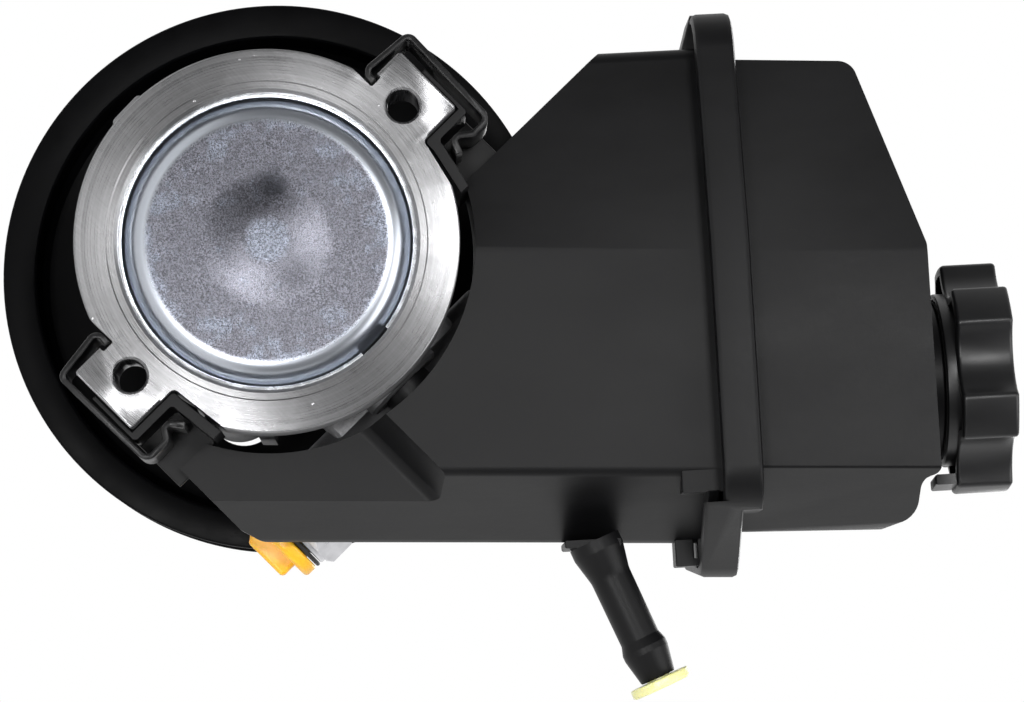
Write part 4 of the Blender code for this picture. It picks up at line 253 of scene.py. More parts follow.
LID_EDGE = 2.6 * MM
NECK_X = 41.5 * MM
NECK_Y = -22 * MM
NECK_RADIUS = 21 * MM
NECK_BORE_RADIUS = 17.8 * MM
NECK_HEIGHT = 4.9 * MM
CAP_LOBES = 6
CAP_RADIUS = 30.8 * MM
CAP_LOBE_ARC = math.radians(23.4)
CAP_LOBE_ANGLE = math.radians(-6)
CAP_VALLEY_RADIUS = 24.6 * MM
CAP_TAB_WIDTH = 11 * MM
CAP_HEIGHT = 16 * MM
CAP_TOP_WALL = 3.5 * MM
CAP_EDGE = 1.3 * MM
CAP_SKIRT_RADIUS = 23.2 * MM
CAP_SKIRT_WALL = 1.6 * MM
CAP_SKIRT_DROP = 1.8 * MM
CAP_RECESS_RADIUS = 15 * MM
CAP_RECESS_DEPTH = 3 * MM
CAP_SEAL_THICKNESS = 1.5 * MM
CAP_LOBE_WALL = 2.6 * MM
CAP_PLUG_RADIUS = 9.5 * MM
CAP_PLUG_DROP = 4.6 * MM
CAP_STEM_RADIUS = 5.5 * MM
CAP_STEM_DROP = 13 * MM
TUBE_ROOT = Vector((81.5, -48, 80.8)) * MM
TUBE_ANGLE = math.radians(22)
TUBE_RADIUS = 5.4 * MM
TUBE_BORE_RADIUS = 3.5 * MM
TUBE_ROOT_RADIUS = 6.9 * MM
TUBE_LENGTH = 38.2 * MM
TUBE_WEB_REACH = 8.2 * MM
TUBE_WEB_THICKNESS = 2.8 * MM
TUBE_BARB_RADIUS = 6.1 * MM
TUBE_BARB_PLACE = 29.5 * MM
TUBE_TIP_RADIUS = 4.7 * MM
RETURN_PLUG_RADIUS = 8.2 * MM
RETURN_PLUG_THICKNESS = 2.6 * MM
RETURN_PLUG_SHANK = 11 * MM

# Stage: lamps as (right, up, towards the camera) of the picture, in metres, then width,
# height and power
FLOOR_DROP = 150 * MM
FLOOR_REACH = 0.85
FLOOR_THICKNESS = 2 * MM
FLOOR_GLOW = 0.3
ROOM = 0.26
ROOM_BLEND = 0.35
AMBIENT = 0.2
LAMP_TARGET = Vector((20, -40, 40)) * MM
LAMPS = (("low_left", (-0.2, -0.2, 1.3), 0.22, 0.22, 5.6),
         ("right", (0.36, 0.14, 1.25), 0.22, 0.28, 5.2),
         ("key", (1.0, -0.25, 0.6), 0.9, 0.9, 9.0),
         ("side", (-0.75, -0.8, 0.6), 0.9, 0.9, 9.0),
         ("below", (0.05, -0.95, -0.1), 1.5, 0.8, 2.6),
         ("front", (0.7, 0.0, -1.0), 0.8, 0.8, 7.0))

REAR_FACE = -HOUSING_LENGTH
FACE_NORMAL = Vector((0, 1, 0))
EAR_WAY = Vector((-math.cos(EAR_ANGLE), 0, math.sin(EAR_ANGLE)))
SIDE_WAY = Vector((math.sin(EAR_ANGLE), 0, math.cos(EAR_ANGLE)))
UPPER = 1
LOWER = -1
RIM_FACE = REAR_FACE + COVER_RIM_FACE_DEPTH
PLATEAU_FACE = REAR_FACE + COVER_TOP_DEPTH
FITTING_FACE = VALVE_BOSS_OUTER_END + SEAT_GAP
FITTING_END = FITTING_FACE + FITTING_HEX_LENGTH + FITTING_COLLAR_LENGTH
CAP_UNDERSIDE = LID_END_Z + NECK_HEIGHT + 2 * SEAT_GAP + CAP_SEAL_THICKNESS


# Mesh tools

def place_along(origin, way, side=None):
    """A frame at origin whose local Z points along way and whose local X is near side."""
    z_axis = Vector(way).normalized()
    near = Vector(side) if side is not None else Vector((0, 0, 1))
    if abs(near.normalized().dot(z_axis)) > 0.99:
        near = Vector((1, 0, 0))
    x_axis = (near - near.dot(z_axis) * z_axis).normalized()
    y_axis = z_axis.cross(x_axis)
    made = Matrix((x_axis, y_axis, z_axis)).transposed().to_4x4()
    made.translation = Vector(origin)
    return made


UPRIGHT = Matrix.Identity(4)
SHAFT_PLACE = place_along((0, 0, 0), FACE_NORMAL, (1, 0, 0))
VALVE_PLACE = place_along(SIDE_WAY * VALVE_OFFSET - FACE_NORMAL * VALVE_DEPTH,
                          EAR_WAY * LOWER, SIDE_WAY)
INLET_PLACE = place_along(-FACE_NORMAL * INLET_DEPTH, SIDE_WAY, FACE_NORMAL)
TUBE_PLACE = place_along(TUBE_ROOT, (math.cos(TUBE_ANGLE), 0, math.sin(TUBE_ANGLE)), (0, 1, 0))
NECK_PLACE = Matrix.Translation((NECK_X, NECK_Y, 0))


def settle(name, work, place=UPRIGHT, finish=None):
    """Turn a working mesh into an object whose points are in the row frame."""
    bmesh.ops.remove_doubles(work, verts=work.verts, dist=WELD)
    bmesh.ops.recalc_face_normals(work, faces=work.faces)
    work.transform(place)
    mesh = bpy.data.meshes.new(name)
    work.to_mesh(mesh)
    work.free()
    mesh.shade_smooth()
    mesh.set_sharp_from_angle(angle=SHARP)
    made = bpy.data.objects.new(name, mesh)
    bpy.context.scene.collection.objects.link(made)
    if finish is not None:
        mesh.materials.append(finish)
    return made


def turned(name, profile, place=SHAFT_PLACE, finish=None, radii=None, steps=4,
           sides=FINE_ROUND, tube=False, start=0.0, turn=2 * math.pi):
    """Spin a profile of (along, radius) points, its corners rounded by radii, about the
    local Z axis. A tube's profile is a closed outline."""
    if radii is not None:
        profile = rounded(profile, radii, steps, closed=tube)
    work = bmesh.new()
    turn_to = Matrix.Rotation(start, 4, "Z")
    points = [work.verts.new(turn_to @ Vector((radius, 0, along))) for along, radius in profile]
    edges = [work.edges.new(pair) for pair in zip(points, points[1:])]
    if tube:
        edges.append(work.edges.new((points[-1], points[0])))
    whole = abs(turn - 2 * math.pi) < 1e-6
    bmesh.ops.spin(work, geom=points + edges, cent=(0, 0, 0), axis=(0, 0, 1), angle=turn,
                   steps=sides, use_merge=whole)
    if not whole:
        bmesh.ops.edgeloop_fill(work, edges=[edge for edge in work.edges if edge.is_boundary])
    return settle(name, work, place, finish)


def lofted(name, rings, place=UPRIGHT, finish=None, edge=0.0, steps=2):
    """Extrude the face of the first point ring through the others, which have as many
    points, and round the rims of both end faces by edge."""
    work = bmesh.new()
    corners = [work.verts.new(point) for point in rings[0]]
    face = work.faces.new(corners)
    for number, ring in enumerate(rings[1:]):
        made = bmesh.ops.extrude_face_region(work, geom=[face])["geom"]
        if number > 0:
            bmesh.ops.delete(work, geom=[face], context="FACES_ONLY")
        fresh = {tuple(v.co): v for v in made if isinstance(v, bmesh.types.BMVert)}
        face = next(f for f in made if isinstance(f, bmesh.types.BMFace))
        corners = [fresh[tuple(v.co)] for v in corners]
        for corner, point in zip(corners, ring):
            corner.co = point
    if edge > 0:
        rims = [e for f in (min(work.faces, key=low_centre), face) for e in f.edges]
        bmesh.ops.bevel(work, geom=rims, offset=edge, segments=steps, profile=0.5,
                        affect="EDGES", clamp_overlap=True)
    return settle(name, work, place, finish)


def low_centre(face):
    """The height of a face, with end faces of many corners before square sides."""
    return face.calc_center_median().z - 1e-3 * (len(face.verts) > 4)


def prism(name, outline, low, high, place=UPRIGHT, finish=None, edge=0.0, steps=2):
    """Extrude a flat outline of (x, y) points from low to high along the local Z axis."""
    rings = [[Vector((x, y, level)) for x, y in outline] for level in (low, high)]
    return lofted(name, rings, place, finish, edge, steps)


def block(name, low, high, place=UPRIGHT, finish=None, edge=0.0):
    outline = [(low[0], low[1]), (high[0], low[1]), (high[0], high[1]), (low[0], high[1])]
    return prism(name, outline, low[2], high[2], place, finish, edge)


def mm(*values):
    return [value * MM for value in values]


def rod(low, high, radius):
    return [(low, 0), (low, radius), (high, radius), (high, 0)]


def sleeve(low, high, inner, outer):
    return [(low, inner), (low, outer), (high, outer), (high, inner)]


def final_mesh(target):
    """The object's mesh with its modifiers applied."""
    graph = bpy.context.evaluated_depsgraph_get()
    graph.update()
    made = bpy.data.meshes.new_from_object(target.evaluated_get(graph))
    target.modifiers.clear()
    target.data = made
    return made


def combine(target, tools, operation):
    """Join, cut or intersect target with the tools in one step. The tools are used up."""
    group = bpy.data.collections.new("tools")
    for tool in tools:
        group.objects.link(tool)
    step = target.modifiers.new("step", "BOOLEAN")
    step.operation = operation
    step.solver = "EXACT"
    step.operand_type = "COLLECTION"
    step.collection = group
    mesh = final_mesh(target)
    work = bmesh.new()
    work.from_mesh(mesh)
    bmesh.ops.remove_doubles(work, verts=work.verts, dist=WELD)
    bmesh.ops.dissolve_degenerate(work, dist=WELD, edges=work.edges)
    work.to_mesh(mesh)
    work.free()
    mesh.shade_smooth()
    mesh.set_sharp_from_angle(angle=SHARP)
    for tool in tools:
        bpy.data.objects.remove(tool)
    bpy.data.collections.remove(group)
    return target


def join(target, *tools):
    return combine(target, tools, "UNION")


def cut(target, *tools):
    return combine(target, tools, "DIFFERENCE")


def keep(target, tool):
    return combine(target, [tool], "INTERSECT")


def eased(target, width, steps=2, angle=34):
    """Round the edges of a finished shape."""
    bevel = target.modifiers.new("eased", "BEVEL")
    bevel.width = width
    bevel.segments = steps
    bevel.limit_method = "ANGLE"
    bevel.angle_limit = math.radians(angle)
    bevel.use_clamp_overlap = True
    bevel.loop_slide = True
    mesh = final_mesh(target)
    mesh.shade_smooth()
    mesh.set_sharp_from_angle(angle=SHARP)
    return target


def evened(target):
    """Let the large flat faces set the shading of the small rounds beside them."""
    target.modifiers.new("evened", "WEIGHTED_NORMAL").keep_sharp = True
    return target


def rounded(points, radii, steps=5, closed=True):
    """Replace each corner of an outline by an arc of its own radius."""
    outline = []
    count = len(points)
    for index, point in enumerate(points):
        radius = radii[index] if isinstance(radii, (list, tuple)) else radii
        corner = Vector(point)
        at_end = not closed and index in (0, count - 1)
        if radius <= 0 or at_end:
            outline.append(tuple(corner))
            continue
        back = (Vector(points[index - 1]) - corner).normalized()
        ahead = (Vector(points[(index + 1) % count]) - corner).normalized()
        half = math.acos(max(-1.0, min(1.0, back.dot(ahead)))) / 2
        setback = radius / math.tan(half)
        centre = corner + (back + ahead).normalized() * radius / math.sin(half)
        start = corner + back * setback - centre
        end = corner + ahead * setback - centre
        for step in range(steps + 1):
            way = start.lerp(end, step / steps)
            outline.append(tuple(centre + way.normalized() * radius))
    return outline


def grown(outline, distance):
    """Move every side of a convex outline outwards, or inwards for a negative distance."""
    count = len(outline)
    centre = sum((Vector(point) for point in outline), Vector((0, 0))) / count
    moved = []
    for index in range(count):
        corner = Vector(outline[index])
        before = corner - Vector(outline[index - 1])
        after = Vector(outline[(index + 1) % count]) - corner
        normals = []
        for side in (before, after):
            normal = Vector((side.y, -side.x)).normalized()
            if normal.dot(corner - centre) < 0:
                normal = -normal
            normals.append(normal)
        both = (normals[0] + normals[1]).normalized()
        moved.append(tuple(corner + both * distance / max(0.3, both.dot(normals[0]))))
    return moved


def strip(path, thickness):
    """The outline of a bent strip whose middle line follows path."""
    left, right = [], []
    for index, point in enumerate(path):
        here = Vector(point)
        before = Vector(path[max(index - 1, 0)])
        after = Vector(path[min(index + 1, len(path) - 1)])
        along = (after - before).normalized()
        across = Vector((-along.y, along.x)) * thickness / 2
        left.append(tuple(here + across))
        right.append(tuple(here - across))
    return left + right[::-1]


def from_ear(side, out, across):
    """A point of the rear view, along an ear and across it, as (x, y) in the shaft's place."""
    spot = EAR_WAY * out * side + SIDE_WAY * across
    return spot.x, -spot.z


def from_ear_outline(side, points):
    return [from_ear(side, out, across) for out, across in points]


def from_rear(points):
    return [(x, -z) for x, z in points]


def beside_shaft(x, y):
    return SHAFT_PLACE @ Matrix.Translation((x, y, 0))


def boss_places():
    for number in range(BOSS_COUNT):
        angle = math.pi * (1 + 2 * number / BOSS_COUNT)
        spot = SIDE_WAY * math.cos(angle) + EAR_WAY * math.sin(angle)
        yield beside_shaft(spot.x * BOSS_CIRCLE, -spot.z * BOSS_CIRCLE)


# Materials

class Nodes:
    """A node tree whose nodes are added one by one."""

    def __init__(self, owner):
        owner.use_nodes = True
        self.nodes = owner.node_tree.nodes
        self.links = owner.node_tree.links

    def give(self, socket, value):
        if isinstance(value, bpy.types.NodeSocket):
            self.links.new(value, socket)
        else:
            socket.default_value = value

    def add(self, kind, inputs=None, **settings):
        made = self.nodes.new("ShaderNode" + kind)
        for name, value in settings.items():
            setattr(made, name, value)
        for name, value in (inputs or {}).items():
            self.give(made.inputs[name], value)
        return made

    def maths(self, operation, *values):
        made = self.add("Math", dict(enumerate(values)), operation=operation)
        return made.outputs[0]

    def vector(self, operation, first, second=(0, 0, 0)):
        made = self.add("VectorMath", {0: first, 1: second}, operation=operation)
        return made.outputs["Value" if operation in ("LENGTH", "DISTANCE") else "Vector"]

    def spread(self, value, low, high, to_low=0.0, to_high=1.0):
        made = self.add("MapRange", {"Value": value, "From Min": low, "From Max": high,
                                     "To Min": to_low, "To Max": to_high})
        return made.outputs["Result"]

    def mix(self, share, first, second):
        return self.add("Mix", {0: share, 6: first, 7: second}, data_type="RGBA").outputs[2]


class Finish(Nodes):
    """A Principled material."""

    def __init__(self, name, roughness, metallic=0.0, specular=0.5):
        self.material = bpy.data.materials.new(name)
        super().__init__(self.material)
        self.shader = self.nodes["Principled BSDF"]
        self.set("Roughness", roughness)
        self.set("Metallic", metallic)
        self.set("Specular IOR Level", specular)
        self.where = self.add("TexCoord").outputs["Object"]
        self.height = None

    def set(self, socket, value):
        self.give(self.shader.inputs[socket], value)

    def noise(self, size, detail=3.0, rough=0.55, where=None):
        """Noise between 0 and 1 whose lumps are about size metres across."""
        made = self.add("TexNoise", {"Vector": where or self.where, "Scale": 1 / size,
                                     "Detail": detail, "Roughness": rough})
        return made.outputs["Fac"]

    def stretched(self, x, y, z):
        return self.vector("MULTIPLY", self.where, (x, y, z))

    def tinted(self, value, base, dark, light, low=0.3, high=0.7):
        """Shades of the base colour, from dark to light as value grows."""
        return self.mix(self.spread(value, low, high), tone(base, dark), tone(base, light))

    def radius(self):
        """Distance from the shaft's axis."""
        return self.vector("LENGTH", self.stretched(1, 0, 1))

    def lines(self, value, pitch, detail=2.0):
        """Fine lines along which value is constant, about a pitch apart."""
        made = self.add("TexNoise", {"W": self.maths("MULTIPLY", value, 1 / pitch), "Scale": 1.0,
                                     "Detail": detail}, noise_dimensions="1D")
        return made.outputs["Fac"]

    def outer_edges(self, low=0.52, high=0.6):
        """How far a place lies on an outer edge."""
        return self.spread(self.add("NewGeometry").outputs["Pointiness"], low, high)

    def raise_by(self, value, depth):
        """Add a height in metres to the surface's relief."""
        grain = self.maths("MULTIPLY", value, depth)
        self.height = grain if self.height is None else self.maths("ADD", self.height, grain)

    def done(self, strength=1.0):
        if self.height is not None:
            bump = self.add("Bump", {"Height": self.height, "Strength": strength,
                                     "Distance": 1.0})
            self.set("Normal", bump.outputs["Normal"])
        return self.material


def grey(value, alpha=1.0):
    return (value, value, value, alpha)


def tone(colour, factor):
    return (*[min(1.0, part * factor) for part in colour], 1.0)


def machined_face():
    """Milled aluminium: fine turned rings, straighter strokes across them and small nicks."""
    made = Finish("machined_aluminium", 0.3, 1.0)
    base = (0.23, 0.23, 0.235)
    made.set("Anisotropic", 0.82)
    made.set("Tangent", made.vector("NORMALIZE", made.stretched(1, 0, 1)))
    fine = made.lines(made.radius(), 0.2 * MM, 3.0)
    broad = made.lines(made.radius(), 1.4 * MM, 2.0)
    way = made.add("VectorRotate", {"Vector": made.where, "Axis": (0, 1, 0), "Angle": 0.75},
                   rotation_type="AXIS_ANGLE").outputs[0]
    strokes = made.noise(0.5 * MM, 4.0, 0.65, made.vector("MULTIPLY", way, (0.05, 1, 1.2)))
    cloud = made.noise(9 * MM, 4.0, 0.6)
    shade = made.maths("ADD", made.maths("ADD", fine, strokes), broad)
    colour = made.tinted(shade, base, 0.76, 1.2, 1.1, 1.9)
    colour = made.mix(made.spread(cloud, 0.4, 0.68, 0, 0.5), colour, tone(base, 0.72))
    nicks = made.add("TexVoronoi", {"Vector": made.where, "Scale": 1 / (6 * MM)})
    mark = made.spread(nicks.outputs["Distance"], 0.0, 0.06, 1.0, 0.0)
    colour = made.mix(made.maths("MULTIPLY", mark, 0.6), colour, tone(base, 1.7))
    made.set("Base Color", colour)
    made.set("Roughness", made.spread(made.maths("ADD", fine, cloud), 0.7, 1.3, 0.24, 0.36))
    made.raise_by(fine, 0.003 * MM)
    made.raise_by(strokes, 0.009 * MM)
    made.raise_by(made.noise(5 * MM, 2.0), 0.03 * MM)
    made.raise_by(mark, 0.05 * MM)
    return made.done()


def cast_metal():
    """As-cast aluminium: matt, grainy, with faint stains."""
    made = Finish("cast_aluminium_skin", 0.55, 0.9)
    base = (0.2, 0.2, 0.205)
    grain = made.noise(0.7 * MM, 4.0, 0.65)
    cloud = made.noise(14 * MM, 4.0)
    colour = made.tinted(cloud, base, 0.72, 1.1)
    colour = made.mix(made.maths("MULTIPLY", made.outer_edges(), 0.5), colour, tone(base, 1.5))
    made.set("Base Color", colour)
    made.set("Roughness", made.spread(grain, 0.3, 0.7, 0.46, 0.66))
    made.raise_by(grain, 0.09 * MM)
    made.raise_by(made.noise(3 * MM, 2.0), 0.12 * MM)
    return made.done()


def zinc_plate():
    """Bright zinc over pressed steel: a sparkling grain and bluish patches."""
    made = Finish("zinc_plate", 0.3, 1.0)
    cool = (0.118, 0.127, 0.152)
    warm = (0.098, 0.099, 0.115)
    radius = made.radius()
    edge = COVER_PLATEAU_RADIUS - 0.4 * MM
    flat = made.spread(radius, edge, edge + 1.4 * MM, 1.0, 0.0)
    near_edge = made.spread(radius, edge - 9 * MM, edge, 0.0, 0.14)
    patches = made.spread(made.maths("ADD", made.noise(8 * MM, 4.0, 0.65), near_edge), 0.6, 0.7)
    middle = made.spread(made.maths("ADD", radius, made.maths(
        "MULTIPLY", made.noise(3 * MM, 3.0), 3 * MM)), 6 * MM, 8 * MM, 1.0, 0.0)
    colour = made.mix(patches, (*warm, 1.0), tone(cool, 1.1))
    colour = made.mix(middle, colour, tone(cool, 1.25))
    grain = made.noise(0.42 * MM, 3.0, 0.75)
    shaded = made.add("VectorMath", {0: colour}, operation="SCALE")
    made.give(shaded.inputs["Scale"], made.spread(grain, 0.34, 0.66, 0.45, 1.5))
    # Painted dark reflection: the plateau's colour is darkened round that spot
    dark_reflection_distance = made.maths("ADD", made.vector("DISTANCE", made.where, DARK_REFLECTION_SPOT), made.maths(
        "MULTIPLY", made.noise(2.5 * MM, 3.0), 4 * MM))
    with_painted_dark_reflection = made.mix(made.spread(dark_reflection_distance, 4 * MM, 7 * MM, 0.65, 0.0), shaded.outputs[0],
                       tone(cool, 0.25))
    # Outside the plateau the same zinc gets a colour several times lighter: a painted sheen on the
    # shoulder and rim
    made.set("Base Color", made.mix(flat, (0.42, 0.445, 0.49, 1.0), with_painted_dark_reflection))
    made.set("Roughness", made.mix(flat, grey(0.3), made.spread(grain, 0.35, 0.65, 0.21, 0.31)))
    made.raise_by(made.maths("MULTIPLY", grain, flat), 0.05 * MM)
    made.raise_by(made.maths("MULTIPLY", made.noise(1.6 * MM, 3.0), flat), 0.05 * MM)
    made.raise_by(made.lines(radius, 0.5 * MM), 0.004 * MM)
    return made.done()


def plated_steel(name, base, roughness):
    """Bright plated steel of small parts."""
    made = Finish(name, roughness, 1.0)
    cloud = made.noise(4 * MM, 3.0)
    made.set("Base Color", made.tinted(cloud, base, 0.85, 1.1))
    made.set("Roughness", made.spread(cloud, 0.3, 0.7, roughness * 0.8, roughness * 1.25))
    made.raise_by(made.noise(0.3 * MM), 0.01 * MM)
    return made.done()


def black_steel(name, base, roughness, edge_wear_and_highlight, specular=0.5, grain=0.02, metallic=0.0):
    """Black painted or blacked steel, lighter along its edges: rubbed wear and a painted
    highlight.
    """
    made = Finish(name, roughness, metallic, specular)
    cloud = made.noise(12 * MM, 4.0)
    colour = made.tinted(cloud, base, 0.8, 1.25)
    # Lighter colour on the outer edges: rubbed wear and a painted highlight along the edge rounds
    edge = made.maths("MULTIPLY", made.outer_edges(0.53, 0.62), made.spread(made.noise(3 * MM), 0.4, 0.6))
    colour = made.mix(edge, colour, (*edge_wear_and_highlight, 1.0))
    made.set("Base Color", colour)
    made.set("Roughness", made.spread(cloud, 0.3, 0.7, roughness * 0.85, roughness * 1.2))
    made.raise_by(made.noise(0.5 * MM), grain * MM)
    return made.done()


def moulded(name, base, roughness, grain=0.012, specular=0.5, streak=0.3):
    """Injection-moulded plastic: satin, with flow streaks and a fine mould grain."""
    made = Finish(name, roughness, 0.0, specular)
    flow = made.noise(22 * MM, 4.0, 0.6, made.stretched(1, 1, 0.45))
    fine = made.noise(0.35 * MM, 3.0, 0.6)
    colour = made.tinted(flow, base, 1 - streak, 1 + streak)
    scuff = made.noise(1.1 * MM, 4.0, 0.7, made.stretched(0.15, 1, 1))
    colour = made.mix(made.spread(scuff, 0.66, 0.8, 0, 0.35), colour, tone(base, 2.4))
    made.set("Base Color", colour)
    made.set("Roughness", made.spread(made.maths("ADD", flow, fine), 0.7, 1.3,
                                      roughness * 0.88, roughness * 1.14))
    made.raise_by(fine, grain * MM)
    made.raise_by(flow, 0.12 * MM)
    return made.done()


def clear_plastic(name, base, roughness, depth_tint, weight):
    """Coloured plastic that light enters a little way."""
    made = Finish(name, roughness)
    cloud = made.noise(5 * MM, 3.0)
    made.set("Base Color", made.tinted(cloud, base, 0.92, 1.06))
    made.set("Subsurface Weight", weight)
    made.set("Subsurface Radius", depth_tint)
    made.set("Subsurface Scale", 1.5 * MM)
    made.raise_by(made.noise(0.6 * MM), 0.012 * MM)
    return made.done()


MACHINED = machined_face()
CAST = cast_metal()
ZINC = zinc_plate()
BRIGHT = plated_steel("bright_steel", (0.62, 0.64, 0.67), 0.24)
FITTING = plated_steel("plated_fitting", (0.6, 0.6, 0.62), 0.34)
GROUND = plated_steel("ground_shaft_steel", (0.56, 0.56, 0.57), 0.26)
IRON = plated_steel("sintered_iron_grain", (0.3, 0.3, 0.31), 0.55)
BRONZE = plated_steel("bronze_turned", (0.6, 0.42, 0.2), 0.38)
PAINT = black_steel("pulley_paint", (0.0012, 0.0012, 0.0015), 0.36, (0.008, 0.008, 0.009), 0.045)
CLIP_STEEL = black_steel("clip_steel", (0.003, 0.003, 0.0034), 0.3, (0.12, 0.12, 0.12), 0.2)
RUBBER = black_steel("seal_rubber", (0.011, 0.011, 0.011), 0.62, (0.02, 0.02, 0.02), 0.4)
NYLON = moulded("reservoir_nylon", (0.0036, 0.0036, 0.004), 0.44, specular=0.17)
CAP_NYLON = moulded("cap_nylon", (0.005, 0.005, 0.0055), 0.36, specular=0.42)
ORANGE = clear_plastic("orange_plug", (0.95, 0.5, 0.02), 0.36, (1.0, 0.35, 0.05), 0.25)
PALE = clear_plastic("pale_plug", (0.88, 0.86, 0.42), 0.3, (1.0, 0.9, 0.4), 0.55)


# Pump housing

def ear_outline():
    """One ear from inside the ring outwards, a little wider on the hooked side."""
    hooked = -EAR_HALF_WIDTH - 0.6 * MM
    return rounded([(EAR_ROOT, hooked), (EAR_REACH, hooked), (EAR_REACH, EAR_HALF_WIDTH),
                    (EAR_ROOT, EAR_HALF_WIDTH)], [0, EAR_CORNER, EAR_CORNER, 0])


def hook_notch(side):
    """The slot beside an ear that takes the clip's hooked end, running out of the ring."""
    floor = HOOK_NOTCH_FLOOR[side]
    ceiling = floor + HOOK_NOTCH_HEIGHT
    return rounded([(floor, HOOK_NOTCH_START), (ceiling, HOOK_NOTCH_START),
                    (ceiling, HOOK_NOTCH_END), (floor, HOOK_NOTCH_END)], mm(0.5, 0.4, 0, 0), 3)


def wall_notch(side):
    """The ring's flattened edge on an ear's other side, where the pocket's wall lies."""
    start = EAR_HALF_WIDTH + SEAT_GAP / 3
    root = WALL_NOTCH_ROOT[side]
    bend = start + 2 * MM
    far = root - WALL_NOTCH_FALL[side] * (WALL_NOTCH_END - bend)
    return rounded([(EAR_REACH, start), (root, start), (root, bend), (far, WALL_NOTCH_END),
                    (EAR_REACH, WALL_NOTCH_END)], mm(0, 1.6, 0, 0, 0))


def thread_cutter(x, y, low, high):
    """A hole with a real helical thread and a chamfered mouth."""
    mouth = low + 1 * MM
    rings = []
    level = low
    while level < high:
        ring = []
        for side in range(THREAD_SIDES):
            angle = 2 * math.pi * side / THREAD_SIDES
            phase = ((level - low) / THREAD_PITCH + side / THREAD_SIDES) % 1.0
            radius = EAR_HOLE_RADIUS - THREAD_DEPTH * abs(2 * phase - 1) * 0.9
            radius = max(radius, EAR_HOLE_RADIUS + 0.4 * MM - (level - mouth))
            ring.append(Vector((radius * math.cos(angle), radius * math.sin(angle), level)))
        rings.append(ring)
        level += THREAD_PITCH / THREAD_STEPS
    return lofted("thread", rings, beside_shaft(x, y))


def make_housing():
    front = -BOSS_HEIGHT
    ring_end = REAR_FACE + RING_THICKNESS
    housing = turned("housing_body", [
        (REAR_FACE, 0), (REAR_FACE, RING_RADIUS), (ring_end - 2 * MM, RING_RADIUS),
        (ring_end + 2 * MM, BODY_RADIUS), (front, BODY_RADIUS), (front, NOSE_RADIUS),
        (NOSE_LENGTH, NOSE_RADIUS), (NOSE_LENGTH, 0)],
        finish=CAST, radii=mm(0, 0.5, 1.5, 3, 4, 3, 1, 0))
    ears = [prism("ear", from_ear_outline(side, ear_outline()), REAR_FACE,
                  REAR_FACE + EAR_THICKNESS, SHAFT_PLACE, edge=0.45 * MM)
            for side in (UPPER, LOWER)]
    join(housing, *ears, *mounting_bosses(), *casting_ribs(), *port_bosses())
    notches = [prism("notch", from_ear_outline(side, outline(side)), REAR_FACE - OVERRUN,
                     REAR_FACE + EAR_THICKNESS + OVERRUN, SHAFT_PLACE)
               for side in (UPPER, LOWER) for outline in (hook_notch, wall_notch)]
    cut(housing, *notches, main_bore(), *holes())
    paint_machined(housing)
    return housing


def paint_machined(housing):
    """Give the flat rear face, the bores and the holes the machined finish."""
    mesh = housing.data
    mesh.materials.clear()
    mesh.materials.append(CAST)
    mesh.materials.append(MACHINED)
    rear_end = REAR_FACE + 0.45 * MM
    bore_radius = COVER_BORE_RADIUS + 1.2 * MM
    bore_end = REAR_FACE + 20 * MM
    hole_radius = EAR_HOLE_RADIUS + 0.9 * MM
    mount_depth = 0.6 * MM
    nose_radius = NOSE_RADIUS + 1 * MM
    nose_start = NOSE_LENGTH - 1.2 * MM
    for face in mesh.polygons:
        centre = face.center
        reach = math.hypot(centre.x, centre.z)
        hole = any(math.hypot(centre.x - x, -centre.z - y) < hole_radius
                   for x, y in ear_holes())
        bore = reach < bore_radius and centre.y < bore_end
        mount = abs(centre.y) < mount_depth and reach > nose_radius
        nose = centre.y > nose_start and reach < nose_radius
        if centre.y < rear_end or bore or hole or mount or nose:
            face.material_index = 1


def ear_holes():
    return [from_ear(side, EAR_HOLE_CIRCLE, 0) for side in (UPPER, LOWER)]


def mounting_bosses():
    profile = [(-BOSS_ROOT, 0), (-BOSS_ROOT, BOSS_RADIUS - 4 * MM),
               (-BOSS_ROOT + 12 * MM, BOSS_RADIUS), (0, BOSS_RADIUS), (0, 0)]
    return [turned("boss", profile, place, radii=mm(0, 2, 6, 0.6, 0), sides=SMALL_ROUND)
            for place in boss_places()]


def casting_ribs():
    """The gate stub on the ring and the stiffening ribs in front of it."""
    half = 4.5 * MM
    root = RING_RADIUS - 3 * MM
    crown = RING_RADIUS + 0.6 * MM
    stub = prism("stub", rounded([(root, -half - 2 * MM), (crown, -half), (crown, half),
                                  (root, half + 3 * MM)], mm(0, 1.2, 1.2, 0), 3),
                 REAR_FACE + 0.6 * MM, REAR_FACE + RING_THICKNESS * 0.8,
                 SHAFT_PLACE @ Matrix.Rotation(GATE_BUMP_ANGLE, 4, "Z"), edge=0.4 * MM)
    low = REAR_FACE + RING_THICKNESS - 4 * MM
    high = -BOSS_HEIGHT - 8 * MM
    return [stub] + [block("rib", (BODY_RADIUS - 3 * MM, -2 * MM, low),
                           (BODY_RADIUS + 5 * MM, 2 * MM, high),
                           SHAFT_PLACE @ Matrix.Rotation(math.radians(degrees), 4, "Z"),
                           edge=0.8 * MM) for degrees in CASTING_RIB_DEGREES]


